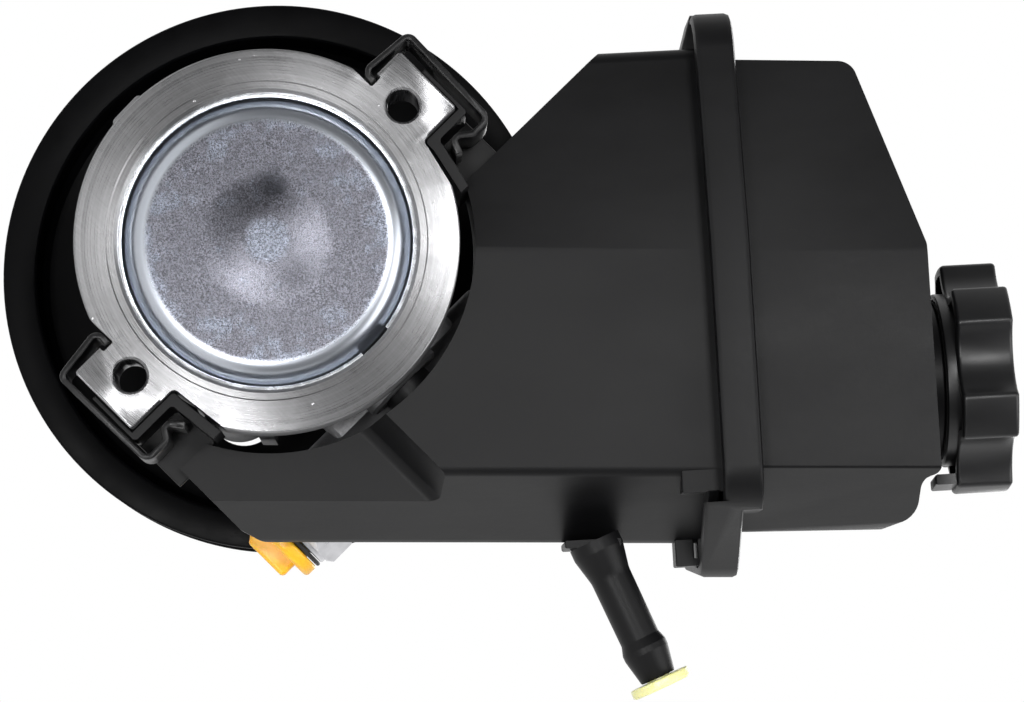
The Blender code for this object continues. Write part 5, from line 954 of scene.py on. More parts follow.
def port_bosses():
    web = block("web", (CHAMBER_RADIUS + 3 * MM, -22 * MM, -10 * MM),
                (VALVE_OFFSET, 22 * MM, 6 * MM),
                place_along(-FACE_NORMAL * VALVE_DEPTH, FACE_NORMAL, SIDE_WAY), edge=1.5 * MM)
    boss = turned("valve_boss", rod(-VALVE_BOSS_BLIND_END, VALVE_BOSS_OUTER_END,
                                    VALVE_BOSS_RADIUS),
                  VALVE_PLACE, radii=mm(0, 3, 1, 0), steps=5, sides=ROUND)
    inlet = turned("inlet_boss", [
        (CHAMBER_RADIUS, 0), (CHAMBER_RADIUS, INLET_BOSS_RADIUS),
        (INLET_BOSS_REACH - 0.8 * MM, INLET_BOSS_RADIUS),
        (INLET_BOSS_REACH, INLET_BOSS_RADIUS - 0.8 * MM), (INLET_BOSS_REACH, 0)],
        INLET_PLACE, sides=SMALL_ROUND)
    return [web, boss, inlet]


def main_bore():
    """Everything bored on the shaft's axis that can be seen, from either end."""
    ring_back = REAR_FACE + WIRE_RING_DEPTH - SEAT_GAP
    ring_front = ring_back + WIRE_RING_THICKNESS + 2 * SEAT_GAP
    ring_floor = WIRE_RING_OUTER_RADIUS + SEAT_GAP
    step = REAR_FACE + RING_STEP_DEPTH
    bearing = SHAFT_RADIUS + 3 * MM
    return turned("bore", [
        (REAR_FACE - OVERRUN, 0), (REAR_FACE - OVERRUN, RING_STEP_RADIUS + RING_STEP_DEPTH),
        (REAR_FACE, RING_STEP_RADIUS + RING_STEP_DEPTH), (step, RING_STEP_RADIUS),
        (step, COVER_BORE_RADIUS + 0.9 * MM), (step + 0.9 * MM, COVER_BORE_RADIUS),
        (ring_back, COVER_BORE_RADIUS), (ring_back, ring_floor), (ring_front, ring_floor),
        (ring_front, COVER_BORE_RADIUS), (REAR_FACE + COVER_BORE_DEPTH, COVER_BORE_RADIUS),
        (REAR_FACE + COVER_BORE_DEPTH, CHAMBER_RADIUS), (-CHAMBER_FLOOR, CHAMBER_RADIUS),
        (-CHAMBER_FLOOR, bearing), (0, bearing), (0, SEAL_RADIUS + SEAT_GAP),
        (NOSE_LENGTH - 0.8 * MM, SEAL_RADIUS + SEAT_GAP),
        (NOSE_LENGTH + 0.2 * MM, SEAL_RADIUS + 1.3 * MM),
        (NOSE_LENGTH + OVERRUN, SEAL_RADIUS + 1.3 * MM), (NOSE_LENGTH + OVERRUN, 0)])


def holes():
    threads = [thread_cutter(x, y, REAR_FACE - 1 * MM, REAR_FACE + EAR_THICKNESS + 2 * MM)
               for x, y in ear_holes()]
    mouth = BOSS_HOLE_RADIUS + 1 * MM
    profile = [(-BOSS_HOLE_DEPTH - 2 * MM, 0), (-BOSS_HOLE_DEPTH, BOSS_HOLE_RADIUS),
               (-0.8 * MM, BOSS_HOLE_RADIUS), (0.2 * MM, mouth), (OVERRUN, mouth), (OVERRUN, 0)]
    return threads + [turned("hole", profile, place, sides=SMALL_ROUND)
                      for place in boss_places()]


# End cover and its ring

def make_end_cover():
    """The pressed steel cover: a low cone, a plateau and a rounded shoulder."""
    cone = []
    cone_width = COVER_CONE_RADIUS + 3 * MM - COVER_CENTRE_RADIUS
    for step in range(COVER_CONE_STEPS + 1):
        share = step / COVER_CONE_STEPS
        fall = 0.5 + 0.5 * math.cos(math.pi * share)
        cone.append((PLATEAU_FACE - COVER_CONE_HEIGHT * fall,
                     COVER_CENTRE_RADIUS + cone_width * share))
    shoulder = []
    for degrees in range(0, COVER_SHOULDER_DEGREES + 1, 4):
        angle = math.radians(degrees)
        shoulder.append((PLATEAU_FACE + COVER_SHOULDER_RADIUS * (1 - math.cos(angle)),
                         COVER_PLATEAU_RADIUS + COVER_SHOULDER_RADIUS * math.sin(angle)))
    back = RIM_FACE + 7.2 * MM
    outer = COVER_EDGE_RADIUS
    profile = [(PLATEAU_FACE - COVER_CONE_HEIGHT, 0), *cone,
               (PLATEAU_FACE, COVER_PLATEAU_RADIUS - 0.6 * MM), *shoulder,
               (PLATEAU_FACE + 2.5 * MM, outer - 2.4 * MM),
               (PLATEAU_FACE + 3.2 * MM, outer - 1.7 * MM),
               (PLATEAU_FACE + 3.9 * MM, outer - 1 * MM), (RIM_FACE, outer - 0.5 * MM),
               (RIM_FACE + 1 * MM, outer),
               (back, outer), (back, COVER_PLATEAU_RADIUS), (PLATEAU_FACE + 4.6 * MM, 27 * MM),
               (PLATEAU_FACE + 4.6 * MM, 0)]
    return turned("end_cover_plate", profile, finish=ZINC)


def make_cover_ring():
    near = REAR_FACE + WIRE_RING_DEPTH
    far = near + WIRE_RING_THICKNESS
    profile = [(near, WIRE_RING_INNER_RADIUS), (far, WIRE_RING_INNER_RADIUS),
               (far, WIRE_RING_OUTER_RADIUS), (near, WIRE_RING_OUTER_RADIUS)]
    return turned("cover_snap_ring", profile, finish=BRIGHT, radii=0.35 * MM, steps=3, tube=True,
                  start=WIRE_RING_GAP / 2 - WIRE_RING_GAP_ANGLE,
                  turn=2 * math.pi - WIRE_RING_GAP)


# Pulley and shaft

def make_pulley():
    """The dished pulley: ribbed belt track, web, hub and the groove for a puller."""
    rear = PULLEY_REAR
    front = rear + PULLEY_WIDTH
    track_rear = rear + PULLEY_FLANGE
    pitch = (PULLEY_WIDTH - 2 * PULLEY_FLANGE) / PULLEY_GROOVES
    crest = PULLEY_BELT_RADIUS
    floor = crest - PULLEY_GROOVE_DEPTH
    inner = floor - PULLEY_RIM_WALL
    points = [(rear, inner), (rear, PULLEY_RADIUS), (track_rear - 0.3 * MM, PULLEY_RADIUS)]
    radii = [1.2, 0.7, 0.7]
    for number in range(PULLEY_GROOVES):
        start = track_rear + number * pitch
        points += [(start, crest), (start + pitch / 2, floor)]
        radii += [0.35, 0.3]
    web_front = front - PULLEY_WEB_FRONT
    web_back = web_front - PULLEY_WEB_THICKNESS
    lip_back = PULLEY_HUB_FRONT - 3 * MM
    groove_back = lip_back - 3.2 * MM
    groove = PULLEY_HUB_RADIUS - 2.4 * MM
    bore = SHAFT_RADIUS + SEAT_GAP
    points += [(front - PULLEY_FLANGE, crest), (front - PULLEY_FLANGE + 0.3 * MM, PULLEY_RADIUS),
               (front, PULLEY_RADIUS), (front, inner), (web_front, inner - 2 * MM),
               (web_front, PULLEY_HUB_RADIUS), (groove_back, PULLEY_HUB_RADIUS),
               (groove_back, groove), (lip_back, groove), (lip_back, PULLEY_HUB_RADIUS),
               (PULLEY_HUB_FRONT, PULLEY_HUB_RADIUS), (PULLEY_HUB_FRONT, bore),
               (PULLEY_HUB_REAR, bore), (PULLEY_HUB_REAR, PULLEY_HUB_RADIUS),
               (web_back, PULLEY_HUB_RADIUS), (web_back, inner)]
    radii += [0.35, 0.7, 0.7, 1, 4, 2.5, 0.3, 0.4, 0.4, 0.3, 0.8, 0.8, 0.8, 0.8, 2.5, 4]
    pulley = turned("pulley_wheel", points, finish=PAINT, radii=mm(*radii), steps=3,
                    sides=PULLEY_ROUND, tube=True)
    mouth = PULLEY_WINDOW_RADIUS + OVERRUN
    window = [(web_back - OVERRUN, 0), (web_back - OVERRUN, mouth),
              (web_back + 0.2 * MM, PULLEY_WINDOW_RADIUS),
              (web_front - 0.2 * MM, PULLEY_WINDOW_RADIUS),
              (web_front + OVERRUN, mouth), (web_front + OVERRUN, 0)]
    return cut(pulley, *[turned("window", window, place, radii=mm(0, 0, 0.8, 0.8, 0, 0),
                                steps=3, sides=SMALL_ROUND) for place in boss_places()])


def make_shaft():
    """The shaft's outer length, with its threaded nose."""
    tap = 3.4 * MM
    return turned("shaft_steel", [
        (SHAFT_END, 0), (SHAFT_END, SHAFT_RADIUS - 0.5 * MM),
        (SHAFT_STEP - 0.5 * MM, SHAFT_RADIUS - 0.5 * MM), (SHAFT_STEP, SHAFT_RADIUS),
        (SHAFT_NOSE, SHAFT_RADIUS), (SHAFT_NOSE, tap), (SHAFT_NOSE - 18 * MM, tap),
        (SHAFT_NOSE - 20 * MM, 0)],
        finish=GROUND, radii=mm(0, 0.8, 0, 0, 1, 0.7, 0, 0), sides=ROUND)


# Outlet

def make_fitting():
    face = FITTING_FACE
    start = VALVE_BOSS_OUTER_END - FITTING_SHANK_LENGTH
    hex_end = face + FITTING_HEX_LENGTH
    body = turned("outlet_union", [
        (start, FITTING_PORT_RADIUS), (start, FITTING_SHANK_RADIUS), (face, FITTING_SHANK_RADIUS),
        (face, FITTING_COLLAR_RADIUS), (FITTING_END, FITTING_COLLAR_RADIUS),
        (FITTING_END, FITTING_PORT_RADIUS)],
        VALVE_PLACE, FITTING, mm(0, 1, 0, 0, 0.5, 0.4), 3, ROUND, tube=True)
    corner = FITTING_FLATS / math.sqrt(3)
    hexagon = [(corner * math.cos(math.radians(60 * n)), corner * math.sin(math.radians(60 * n)))
               for n in range(6)]
    nut = prism("hex", rounded(hexagon, 0.6 * MM, 3), face, hex_end, VALVE_PLACE)
    keep(nut, turned("round", [
        (face - OVERRUN, 0), (face - OVERRUN, corner - 0.6 * MM), (face, corner - 0.6 * MM),
        (face + 0.8 * MM, corner + 0.3 * MM), (hex_end - 1.6 * MM, corner + 0.3 * MM),
        (hex_end + 0.2 * MM, FITTING_FLATS / 2 - 0.2 * MM), (hex_end + 0.2 * MM, 0)],
        VALVE_PLACE, sides=ROUND))
    cut(nut, turned("bore", rod(start, hex_end + OVERRUN, FITTING_SHANK_RADIUS - 1 * MM),
                    VALVE_PLACE, sides=SMALL_ROUND))
    return join(body, nut)


def make_gasket():
    low = FITTING_END + SEAT_GAP
    return turned("plug_gasket_ring", sleeve(low, low + PORT_GASKET_THICKNESS,
                                             FITTING_PORT_RADIUS, FITTING_COLLAR_RADIUS),
                  VALVE_PLACE, RUBBER, 0.5 * MM, 3, SMALL_ROUND, tube=True)


def plug_shape(name, place, finish, tip, shank, low, high, radius, radii, sides):
    """A shipping plug: a shank from tip to the disc that lies between low and high."""
    return turned(name, [(tip, 0), (tip, shank), (low, shank), (low, radius), (high, radius),
                         (high, 0)], place, finish, radii, sides=sides)


def make_port_plug():
    """The outlet's plug, with a grip that reaches further on one side."""
    low = FITTING_END + PORT_GASKET_THICKNESS + 2 * SEAT_GAP
    high = low + PORT_PLUG_THICKNESS
    plug = plug_shape("orange_port_plug", VALVE_PLACE, ORANGE, FITTING_END - PORT_PLUG_SHANK,
                      FITTING_PORT_RADIUS - SEAT_GAP, low, high, PORT_PLUG_RADIUS,
                      mm(0, 1, 0, 0.8, 1.2, 0), SMALL_ROUND)
    top = high + PORT_GRIP_HEIGHT
    half = PORT_GRIP_THICKNESS / 2
    wing = PORT_GRIP_WING - PORT_GRIP_LONG_END
    outline = rounded([
        (-PORT_GRIP_LONG_END, high - 1.5 * MM), (-PORT_GRIP_LONG_END, high + 1.5 * MM),
        (wing, high + 2 * MM), (wing + 2 * MM, top), (PORT_GRIP_SHORT_END, top),
        (PORT_GRIP_SHORT_END, high - 1.5 * MM)], mm(0.8, 1, 1, 1.2, 1.2, 0), 4)
    place = VALVE_PLACE.to_3x3()
    lying = place_along(VALVE_PLACE.translation, place.col[1], place.col[0])
    if lying.to_3x3().col[1].dot(place.col[2]) < 0:
        outline = [(x, -y) for x, y in outline]
    return join(plug, prism("grip", outline, -half, half, lying, edge=0.8 * MM))


# Reservoir

def tank_section(z, grow=0.0):
    """The reservoir's section at a height, as (X, Y) points."""
    shift = TANK_SPREAD * z
    corners = [(TANK_TOP_X, -TANK_TOP_REAR), (TANK_FACET_X + shift, -TANK_REAR),
               (TANK_BREAK_X + shift, -TANK_REAR), (TANK_BOTTOM_X + shift, -TANK_BAND_FRONT),
               (TANK_FRONT_BOTTOM_X + shift, TANK_FRONT), (TANK_FRONT_TOP_X, TANK_FRONT)]
    shares = [1, 0, 0.8, 1.6, 1.4, 1.4]
    radii = [max(TANK_CORNER * share + grow, TANK_CORNER / 4) if share else 0
             for share in shares]
    return rounded(grown(corners, grow), radii, 7)


def tank_prism(name, low, high, grow=0.0, finish=None, edge=0.0):
    rings = [[Vector((x, y, z)) for x, y in tank_section(z, grow)] for z in (low, high)]
    return lofted(name, rings, UPRIGHT, finish, edge)


def stepped(name, low, high, grow, near, far, finish=None, edge=0.0):
    """Two levels of the flange: one as far as near, and a lower one from far onwards."""
    upper = tank_prism(name, low, high, grow, finish, edge)
    cut(upper, block("end", (near, -1, 0), (1, 1, 1)))
    lower = tank_prism(name, low - FLANGE_STEP, high - FLANGE_STEP, grow, edge=edge)
    cut(lower, block("end", (-1, -1, 0), (far, 1, 1)))
    return [upper, lower]


def keep_within(target, plan):
    """Keep what lies inside a plan of (X, Z) points seen from the rear."""
    return keep(target, prism("plan", from_rear(plan), -FAR, FAR, SHAFT_PLACE))


def tank_plan(shrink):
    """The lower half seen from the rear, as (X, Z) points."""
    radius = TANK_PUMP_RADIUS + shrink
    shoulder = TANK_SHOULDER + shrink
    arm = ARM_REACH - shrink
    top = TANK_MOUTH_Z + OVERRUN
    top_x = TANK_TOP_X - OVERRUN
    low_x = TANK_BOTTOM_X + 4 * OVERRUN

    def spot(side, out, across):
        x, y = from_ear(side, out, across)
        return x, -y

    out = (-top_x + SIDE_WAY.x * shoulder) / math.cos(EAR_ANGLE)
    points = [(low_x, top), (top_x, top), spot(UPPER, out, shoulder)]
    angle = math.atan2(math.sqrt(radius ** 2 - shoulder ** 2), shoulder)
    for step in range(TANK_ARC_STEPS + 1):
        way = angle * (1 - 2 * step / TANK_ARC_STEPS)
        points.append(spot(UPPER, radius * math.sin(way), radius * math.cos(way)))
    points.append(spot(LOWER, arm, shoulder))
    near_x = TANK_BOTTOM_X - ARM_CORNER_RISE - shrink
    corner = spot(LOWER, arm, (near_x - math.cos(EAR_ANGLE) * arm) / SIDE_WAY.x)
    end_z = corner[1] + ARM_CORNER_RUN
    points += [corner, (near_x + ARM_CORNER_RISE * (1 - ARM_CORNER_BEND ** 2),
                        corner[1] + ARM_CORNER_RUN * ARM_CORNER_BEND),
               (near_x + ARM_CORNER_RISE, end_z), (low_x, end_z)]
    return rounded(points, [0] * (len(points) - 4) + mm(3, 6, 0, 0), 4)


def cut_arm_and_front(target, shrink=0.0):
    """Set the arm's rear face back, and keep the part near the pump clear of the valve."""
    step = [(-FAR, -ARM_REAR + shrink), (ARM_STEP_START + shrink, -ARM_REAR + shrink),
            (ARM_STEP_END + shrink, -TANK_REAR + shrink), (ARM_STEP_END + shrink, -FAR),
            (-FAR, -FAR)]
    side_on = place_along((0, 0, 0), SIDE_WAY, EAR_WAY)
    outline = rounded([(out, -y) for out, y in step], mm(0, 4, 4, 0, 0), 6)
    return cut(target, prism("step", outline, -FAR, FAR, side_on),
               block("front", (-FAR, -SLAB_FRONT - shrink, -FAR),
                     (FAR, FAR, TANK_DEEP_FROM + shrink)))


def make_rails():
    """The two rails over the ears, each with its pocket for the clip's bent end."""
    inner = EAR_REACH + SEAT_GAP
    outer = inner + RAIL_THICKNESS
    start = EAR_HALF_WIDTH + SEAT_GAP
    end = start + RAIL_WALL
    sunk = TANK_SHOULDER + 2 * MM
    made = []
    for side in (UPPER, LOWER):
        root = WALL_NOTCH_ROOT[side] + RAIL_WALL_GAP
        deep = root + RAIL_WALL + 0.4 * MM
        fall = WALL_NOTCH_FALL[side] * (TANK_SHOULDER - end)
        made.append(prism("wall", from_ear_outline(side, rounded([
            (inner, -RAIL_FAR_END), (outer, -RAIL_FAR_END), (outer, end), (deep, end),
            (deep, end + 2 * MM), (deep - fall, sunk), (root - fall, sunk),
            (root, end + 1 * MM), (root, start), (inner, start)],
            mm(0.3, 0.3, 1.2, 1.2, 0, 0, 0, 0, 1.2, 0))),
            -RAIL_REAR, -RAIL_FRONT[side], SHAFT_PLACE, edge=0.35 * MM))
        made.append(prism("floor", from_ear_outline(side, [
            (root + 1 * MM, end - 1 * MM), (outer, end - 1 * MM), (outer, sunk + 1 * MM),
            (TANK_PUMP_RADIUS - 4 * MM, sunk + 1 * MM), (root + 1 * MM - fall, TANK_SHOULDER)]),
            -POCKET_FLOOR, -RAIL_FRONT[side], SHAFT_PLACE, edge=0.4 * MM))
    return made


def make_return_tube():
    """The barbed hose tube, the pad at its root and the web beside it."""
    tube = turned("tube", [
        (-1 * MM, 0), (-1 * MM, TUBE_ROOT_RADIUS), (2 * MM, TUBE_ROOT_RADIUS),
        (9 * MM, TUBE_RADIUS), (TUBE_BARB_PLACE - 2.4 * MM, TUBE_RADIUS - 0.1 * MM),
        (TUBE_BARB_PLACE, TUBE_BARB_RADIUS), (TUBE_BARB_PLACE + 1.6 * MM, TUBE_BARB_RADIUS),
        (TUBE_LENGTH, TUBE_TIP_RADIUS), (TUBE_LENGTH, 0)],
        TUBE_PLACE, radii=mm(0, 0, 3, 9, 1.2, 0.6, 2, 0.5, 0), sides=SMALL_ROUND)
    x, y, z = TUBE_ROOT
    half = TUBE_WEB_THICKNESS / 2
    web = from_rear([(x - 1 * MM, z - TUBE_WEB_REACH), (x + 9 * MM, z - 1 * MM),
                     (x + 9 * MM, z + 4 * MM), (x - 1 * MM, z + 5 * MM)])
    pad = block("pad", (x - 1.2 * MM, y - 4 * MM, z - TUBE_WEB_REACH),
                (x + 0.8 * MM, 6 * MM - TANK_BAND_FRONT, z + 6.6 * MM), edge=0.5 * MM)
    return [tube, pad, prism("web", web, y - half, y + half, SHAFT_PLACE, edge=0.5 * MM)]


def make_weld_ribs():
    """Small ribs, a shelf and a gusset that brace the flange. Each rib is its start and end
    downwards and its low and high edge, in millimetres."""
    x = TANK_BOTTOM_X + 5 * MM
    z = WELD_FLANGE_Z - 12.2 * MM
    made = [block("rib", (x + start * MM, -WELD_RIB_REAR, z + low * MM),
                  (x + end * MM, -WELD_RIB_FRONT, z + high * MM), edge=0.4 * MM)
            for start, end, low, high in WELD_RIBS]
    shelf = block("shelf", (TANK_BREAK_X + 5.2 * MM, -TANK_REAR, z + 0.8 * MM),
                  (TANK_BREAK_X + 11 * MM, -TANK_BAND_FRONT, z + 12 * MM), edge=0.5 * MM)
    near, far, level = TANK_TOP_X + 2 * MM, TANK_TOP_X - 9 * MM, -WELD_FLANGE_Z
    gusset = [(near, level + 4.4 * MM), (far, level + 1 * MM), (far, level - 1 * MM),
              (near, level - 1 * MM)]
    return made + [shelf, prism("gusset", gusset, -GUSSET_REAR, -GUSSET_FRONT, SHAFT_PLACE,
                                edge=0.5 * MM)]


def make_reservoir_body():
    body = tank_prism("reservoir_lower", TANK_LOW_Z, TANK_MOUTH_Z, 0, NYLON)
    keep_within(body, tank_plan(0))
    cut_arm_and_front(body)
    eased(body, TANK_EDGE, 3)
    spigot = turned("spigot", sleeve(INLET_BOSS_REACH - 9 * MM, TANK_PUMP_RADIUS + 2 * MM,
                                     SPIGOT_RADIUS - 2 * MM, SPIGOT_RADIUS),
                    INLET_PLACE, sides=SMALL_ROUND, tube=True)
    step_x = FLANGE_STEP_X - SEAT_GAP
    flange = stepped("flange", WELD_FLANGE_Z, WELD_FLANGE_Z + WELD_FLANGE_THICKNESS,
                     WELD_FLANGE_PROUD, step_x, FLANGE_STEP_X - 3 * MM, edge=0.5 * MM)
    join(body, *flange, *make_weld_ribs(), *make_rails(), spigot, *make_return_tube())
    cut(body, block("mouth", (step_x, -1, TANK_MOUTH_Z - FLANGE_STEP), (1, 1, 1)))
    hollow = tank_prism("hollow", TANK_LOW_Z, TANK_MOUTH_Z + 2 * OVERRUN, -TANK_WALL)
    keep_within(hollow, tank_plan(TANK_WALL))
    cut_arm_and_front(hollow, TANK_WALL)
    bore = turned("bore", rod(1 * MM, TUBE_LENGTH + OVERRUN, TUBE_BORE_RADIUS), TUBE_PLACE,
                  sides=SMALL_ROUND)
    return evened(cut(body, hollow, bore))


def lid_plan(shrink):
    """The upper half seen from the rear, as (X, Z) points."""
    start = TANK_MOUTH_Z - 3 * OVERRUN
    end = LID_END_Z - shrink
    slope = (LID_END_Z - LID_SHOULDER_Z) / (LID_SLANT_END_X - LID_SLANT_TOP_X)
    top_x = TANK_TOP_X + COVER_INSET
    high_x = top_x + 2.6 * MM
    far_x = TANK_BOTTOM_X + 2 * OVERRUN + TANK_SPREAD * TANK_MOUTH_Z
    low_x = TANK_BOTTOM_X + TANK_SPREAD * TANK_MOUTH_Z - COVER_INSET
    corner_z = LID_SHOULDER_Z - slope * (LID_SLANT_TOP_X - high_x)
    points = [(far_x, start), (top_x - OVERRUN, start), (top_x - OVERRUN, start + OVERRUN),
              (top_x + shrink, start + 2 * OVERRUN), (high_x + shrink, corner_z - shrink),
              (LID_SLANT_END_X + shrink * slope, end), (LID_STEP_X - shrink, end),
              (LID_STEP_X - shrink, end - LID_STEP), (low_x - shrink, end - LID_STEP),
              (low_x - shrink, start + 2 * OVERRUN), (far_x, start + OVERRUN)]
    radii = [0, 0, 0, 0, LID_CORNER, LID_CORNER, 2 * MM, 3 * MM, LID_CORNER, 0, 0]
    return rounded(points, radii, 8)


def make_reservoir_cover():
    """The upper half: flange with a turned-back skirt, walls, slanted end and neck."""
    plate_z = TANK_MOUTH_Z + SEAT_GAP
    neck_end = LID_END_Z + NECK_HEIGHT
    cover, lower = stepped("reservoir_upper", SKIRT_BOTTOM_Z, plate_z + FLANGE_PLATE,
                           SKIRT_PROUD, FLANGE_STEP_X + SKIRT_WALL, FLANGE_STEP_X, NYLON,
                           1.5 * MM)
    shell = tank_prism("shell", plate_z - FLANGE_STEP + 1 * MM, LID_END_Z + OVERRUN,
                       -COVER_INSET)
    keep_within(shell, lid_plan(0))
    eased(shell, LID_EDGE, 5)
    neck = turned("neck", [
        (LID_END_Z - 2 * MM, 0), (LID_END_Z - 2 * MM, NECK_RADIUS + 1.5 * MM),
        (LID_END_Z, NECK_RADIUS + 1.5 * MM), (LID_END_Z + 1.5 * MM, NECK_RADIUS),
        (neck_end, NECK_RADIUS), (neck_end, 0)],
        NECK_PLACE, radii=mm(0, 0, 0, 1.5, 0.6, 0), steps=3, sides=ROUND)
    join(cover, lower, shell, neck)
    spaces = stepped("space", SKIRT_BOTTOM_Z - OVERRUN, plate_z, SKIRT_PROUD - SKIRT_WALL,
                     FLANGE_STEP_X, FLANGE_STEP_X - 1 * MM)
    hollow = tank_prism("hollow", SKIRT_BOTTOM_Z - 2 * OVERRUN, LID_END_Z + OVERRUN,
                        -COVER_INSET - TANK_WALL)
    keep_within(hollow, lid_plan(TANK_WALL))
    bore = turned("bore", rod(LID_END_Z - 2 * OVERRUN, neck_end + OVERRUN, NECK_BORE_RADIUS),
                  NECK_PLACE, sides=ROUND)
    return evened(cut(cover, *spaces, hollow, bore))


# Filler cap

def lobed(lobe_steps=10, valley_steps=20):
    """A knob's outline: six lobes with firm corners and hollow valleys between them."""
    pitch = 2 * math.pi / CAP_LOBES
    ahead = (pitch - CAP_LOBE_ARC) / 2
    sink = CAP_RADIUS * math.cos(ahead) - CAP_VALLEY_RADIUS
    hollow = ((CAP_RADIUS * math.sin(ahead)) ** 2 + sink ** 2) / (2 * sink)
    swing = math.asin(CAP_RADIUS * math.sin(ahead) / hollow)
    outline = []
    for number in range(CAP_LOBES):
        middle = CAP_LOBE_ANGLE + number * pitch
        for step in range(lobe_steps + 1):
            angle = middle + CAP_LOBE_ARC * (step / lobe_steps - 0.5)
            outline.append((CAP_RADIUS * math.cos(angle), CAP_RADIUS * math.sin(angle)))
        valley = middle + pitch / 2
        for step in range(1, valley_steps):
            way = swing * (1 - 2 * step / valley_steps)
            x = CAP_VALLEY_RADIUS + hollow * (1 - math.cos(way))
            y = -hollow * math.sin(way)
            outline.append((x * math.cos(valley) - y * math.sin(valley),
                            x * math.sin(valley) + y * math.cos(valley)))
    return outline


def make_cap():
    """The knob is a thick shell: its lobes are hollow from below."""
    bottom = CAP_UNDERSIDE
    low = bottom + 1 * MM
    high = bottom + CAP_HEIGHT
    cap = prism("cap_knob", lobed(), low, high, NECK_PLACE, CAP_NYLON)
    eased(cap, CAP_EDGE, 5, 30)
    shell = prism("shell", grown(lobed(4, 8), -CAP_LOBE_WALL), low - OVERRUN,
                  high - CAP_TOP_WALL, NECK_PLACE)
    outer = CAP_SKIRT_RADIUS
    cut(shell, turned("core", rod(low - 2 * OVERRUN, high, outer - 0.8 * MM), NECK_PLACE,
                      sides=ROUND))
    cut(cap, shell)
    drop = bottom - CAP_PLUG_DROP
    skirt = turned("skirt", sleeve(bottom - CAP_SKIRT_DROP, low + 1 * MM,
                                   outer - CAP_SKIRT_WALL, outer),
                   NECK_PLACE, radii=mm(0.5, 0.6, 0, 0), steps=3, sides=ROUND, tube=True)
    core = turned("core", [
        (bottom - CAP_STEM_DROP, 0), (bottom - CAP_STEM_DROP, CAP_STEM_RADIUS),
        (drop, CAP_STEM_RADIUS + 0.5 * MM), (drop, CAP_PLUG_RADIUS),
        (low + 1 * MM, CAP_PLUG_RADIUS), (low + 1 * MM, 0)],
        NECK_PLACE, radii=mm(0, 0.8, 1, 0.8, 0, 0), steps=3, sides=ROUND)
    turn = NECK_PLACE @ Matrix.Rotation(CAP_LOBE_ANGLE, 4, "Z")
    tab_end = CAP_RADIUS - 1.6 * MM
    half = CAP_TAB_WIDTH / 2
    tab = block("tab", (tab_end - 2.8 * MM, -half, drop), (tab_end, half, low + 2 * MM), turn,
                edge=0.5 * MM)
    join(cap, skirt, core, tab)
    floor = high - CAP_RECESS_DEPTH
    reach = CAP_RECESS_RADIUS
    return cut(cap, turned("recess", [
        (floor, 0), (floor, reach - 2 * MM), (high, reach), (high + 1 * MM, reach + 1.4 * MM),
        (high + OVERRUN, reach + 1.4 * MM), (high + OVERRUN, 0)],
        NECK_PLACE, radii=mm(0, 1.2, 0, 0, 0, 0), sides=ROUND))


# Clips and return plug

def make_clip(name, side):
    """A spring-steel strip: hooked in the ear's notch, over the rail, into the pocket."""
    path = [mm(*bend) for bend in CLIP_BENDS[side]]
    outline = strip(rounded(path, mm(*CLIP_BEND_RADII), 7, closed=False), CLIP_THICKNESS)
    return prism(name, from_ear_outline(side, outline), -CLIP_REAR, -CLIP_REAR + CLIP_WIDTH,
                 SHAFT_PLACE, CLIP_STEEL, edge=0.3 * MM)


def make_return_plug():
    low = TUBE_LENGTH + SEAT_GAP
    return plug_shape("pale_tube_plug", TUBE_PLACE, PALE, TUBE_LENGTH - RETURN_PLUG_SHANK,
                      TUBE_BORE_RADIUS - SEAT_GAP, low, low + RETURN_PLUG_THICKNESS,
                      RETURN_PLUG_RADIUS, mm(0, 0.8, 0, 0.6, 0.6, 0), ROUND)


# Scene

def stands_for(piece, body, slot, *nodes):
    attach(piece, body)
    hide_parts(*nodes)


def dress_inner_nodes():
    """The sealed inner pieces keep their solids and get a worked finish."""
    finishes = {"seal": RUBBER, "gasket": RUBBER, "o_ring": RUBBER, "vane": GROUND,
                "rotor": GROUND, "spring": GROUND, "dowel": GROUND, "valve": GROUND,
                "bearing": BRONZE, "plate": IRON, "pump_ring": IRON, "dipstick": CAP_NYLON}
    for name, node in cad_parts.items():
        for word, finish in finishes.items():
            if word in name:
                node.data.materials.clear()
                node.data.materials.append(finish)
                break


def make_stage():
    """A pale floor under the hanging pump, a white surround and soft lamps."""
    floor = Finish("floor_paper", 0.9, specular=0.1)
    shade = floor.mix(floor.noise(40 * MM), grey(0.82), grey(0.86))
    floor.set("Base Color", shade)
    rays = floor.add("LightPath")
    seen = floor.maths("MAXIMUM", rays.outputs["Is Camera Ray"], rays.outputs["Is Glossy Ray"])
    floor.set("Emission Color", grey(1.0))
    floor.set("Emission Strength", floor.maths("MULTIPLY", seen, FLOOR_GLOW))
    low = CAD_BOX[0].z - FLOOR_DROP
    table = block("floor", (-FLOOR_REACH, -FLOOR_REACH, low - FLOOR_THICKNESS),
                  (FLOOR_REACH, FLOOR_REACH, low), UPRIGHT, floor.done())
    make_surround()
    for name, (across, up, near), width, height, power in LAMPS:
        data = bpy.data.lights.new(name, "AREA")
        data.shape = "RECTANGLE"
        data.size = width
        data.size_y = height
        data.energy = power
        lamp = bpy.data.objects.new(name, data)
        lamp.location = Vector((-up, -near, across))
        lamp.rotation_mode = "QUATERNION"
        lamp.rotation_quaternion = (LAMP_TARGET - lamp.location).to_track_quat("-Z", "Y")
        bpy.context.scene.collection.objects.link(lamp)


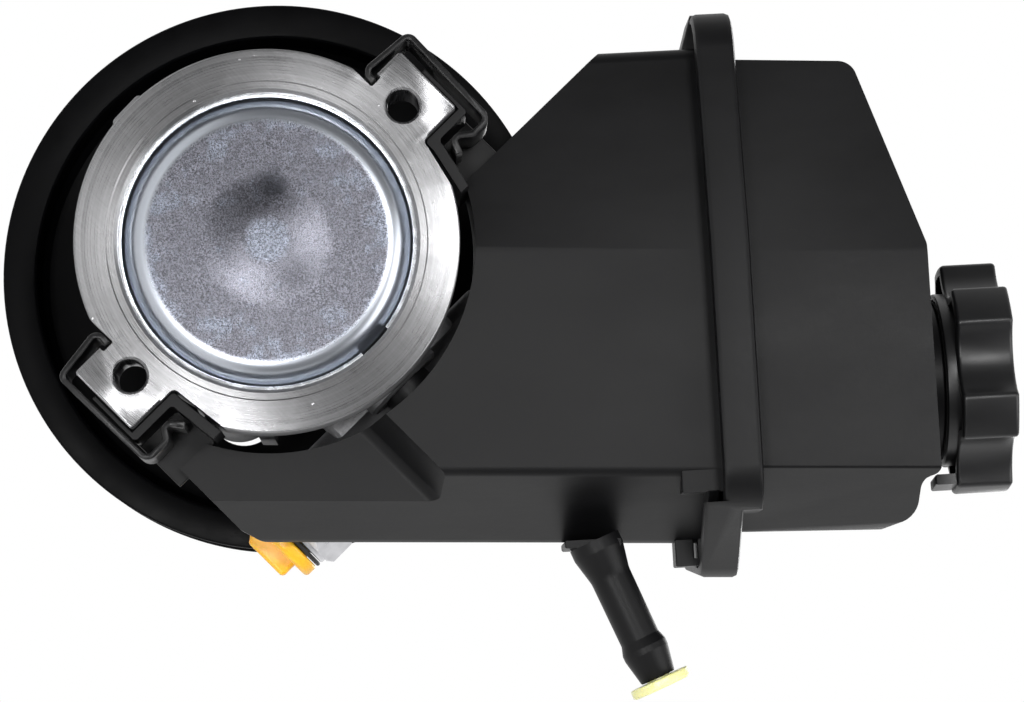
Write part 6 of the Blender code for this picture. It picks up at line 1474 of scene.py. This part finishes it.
def make_surround():
    """White for the eye and behind the pump, a dimmer room on the camera's side."""
    world = bpy.data.worlds.new("surround")
    bpy.context.scene.world = world
    sky = Nodes(world)
    rays = sky.add("LightPath").outputs
    way = sky.add("TexCoord").outputs["Generated"]
    depth = sky.add("SeparateXYZ", {0: way}).outputs["Y"]
    behind = sky.spread(depth, -ROOM_BLEND, ROOM_BLEND, ROOM)
    seen = sky.maths("MAXIMUM", rays["Is Camera Ray"], rays["Is Transmission Ray"])
    shown = sky.maths("MULTIPLY", rays["Is Glossy Ray"], behind)
    direct = sky.maths("MAXIMUM", seen, shown)
    other = sky.maths("SUBTRACT", 1.0, sky.maths("MAXIMUM", seen, rays["Is Glossy Ray"]))
    strength = sky.maths("MULTIPLY_ADD", other, AMBIENT, direct)
    back = sky.nodes["Background"].inputs
    sky.give(back["Color"], grey(1.0))
    sky.give(back["Strength"], strength)


def make_camera():
    data = bpy.data.cameras.new("photo_camera")
    data.lens = CAMERA_LENS
    data.sensor_width = CAMERA_SENSOR
    data.clip_start = CAMERA_NEAR
    camera = bpy.data.objects.new("photo_camera", data)
    right = CAMERA_RIGHT.normalized()
    up = (CAMERA_UP - CAMERA_UP.dot(right) * right).normalized()
    pose = Matrix((right, up, right.cross(up))).transposed().to_4x4()
    pose.translation = CAMERA_PLACE
    camera.matrix_world = pose
    bpy.context.scene.collection.objects.link(camera)
    bpy.context.scene.camera = camera


make_camera()
make_stage()
dress_inner_nodes()
stands_for(make_housing(), "pump", "cast_aluminium", "pump_housing")
stands_for(make_end_cover(), "pump", "zinc_plated_steel", "end_cover")
stands_for(make_cover_ring(), "pump", "zinc_plated_steel", "end_cover_retaining_ring")
stands_for(make_pulley(), "shaft", "black_painted_steel", "pulley")
stands_for(make_shaft(), "shaft", "ground_steel", "drive_shaft")
stands_for(make_fitting(), "pump", "zinc_plated_steel", "outlet_fitting")
stands_for(make_gasket(), "port_plug", "black_rubber", "port_plug_gasket")
stands_for(make_port_plug(), "port_plug", "orange_plastic", "pressure_port_plug")
stands_for(make_reservoir_body(), "pump", "black_nylon", "reservoir_body")
stands_for(make_reservoir_cover(), "pump", "black_nylon", "reservoir_cover")
stands_for(make_cap(), "cap", "black_nylon", "filler_cap")
stands_for(make_clip("upper_spring_clip", UPPER), "pump", "black_spring_steel", "upper_clip")
stands_for(make_clip("lower_spring_clip", LOWER), "pump", "black_spring_steel", "lower_clip")
stands_for(make_return_plug(), "tube_plug", "pale_plastic", "return_tube_plug")

bpy.context.scene.view_settings.view_transform = "Standard"
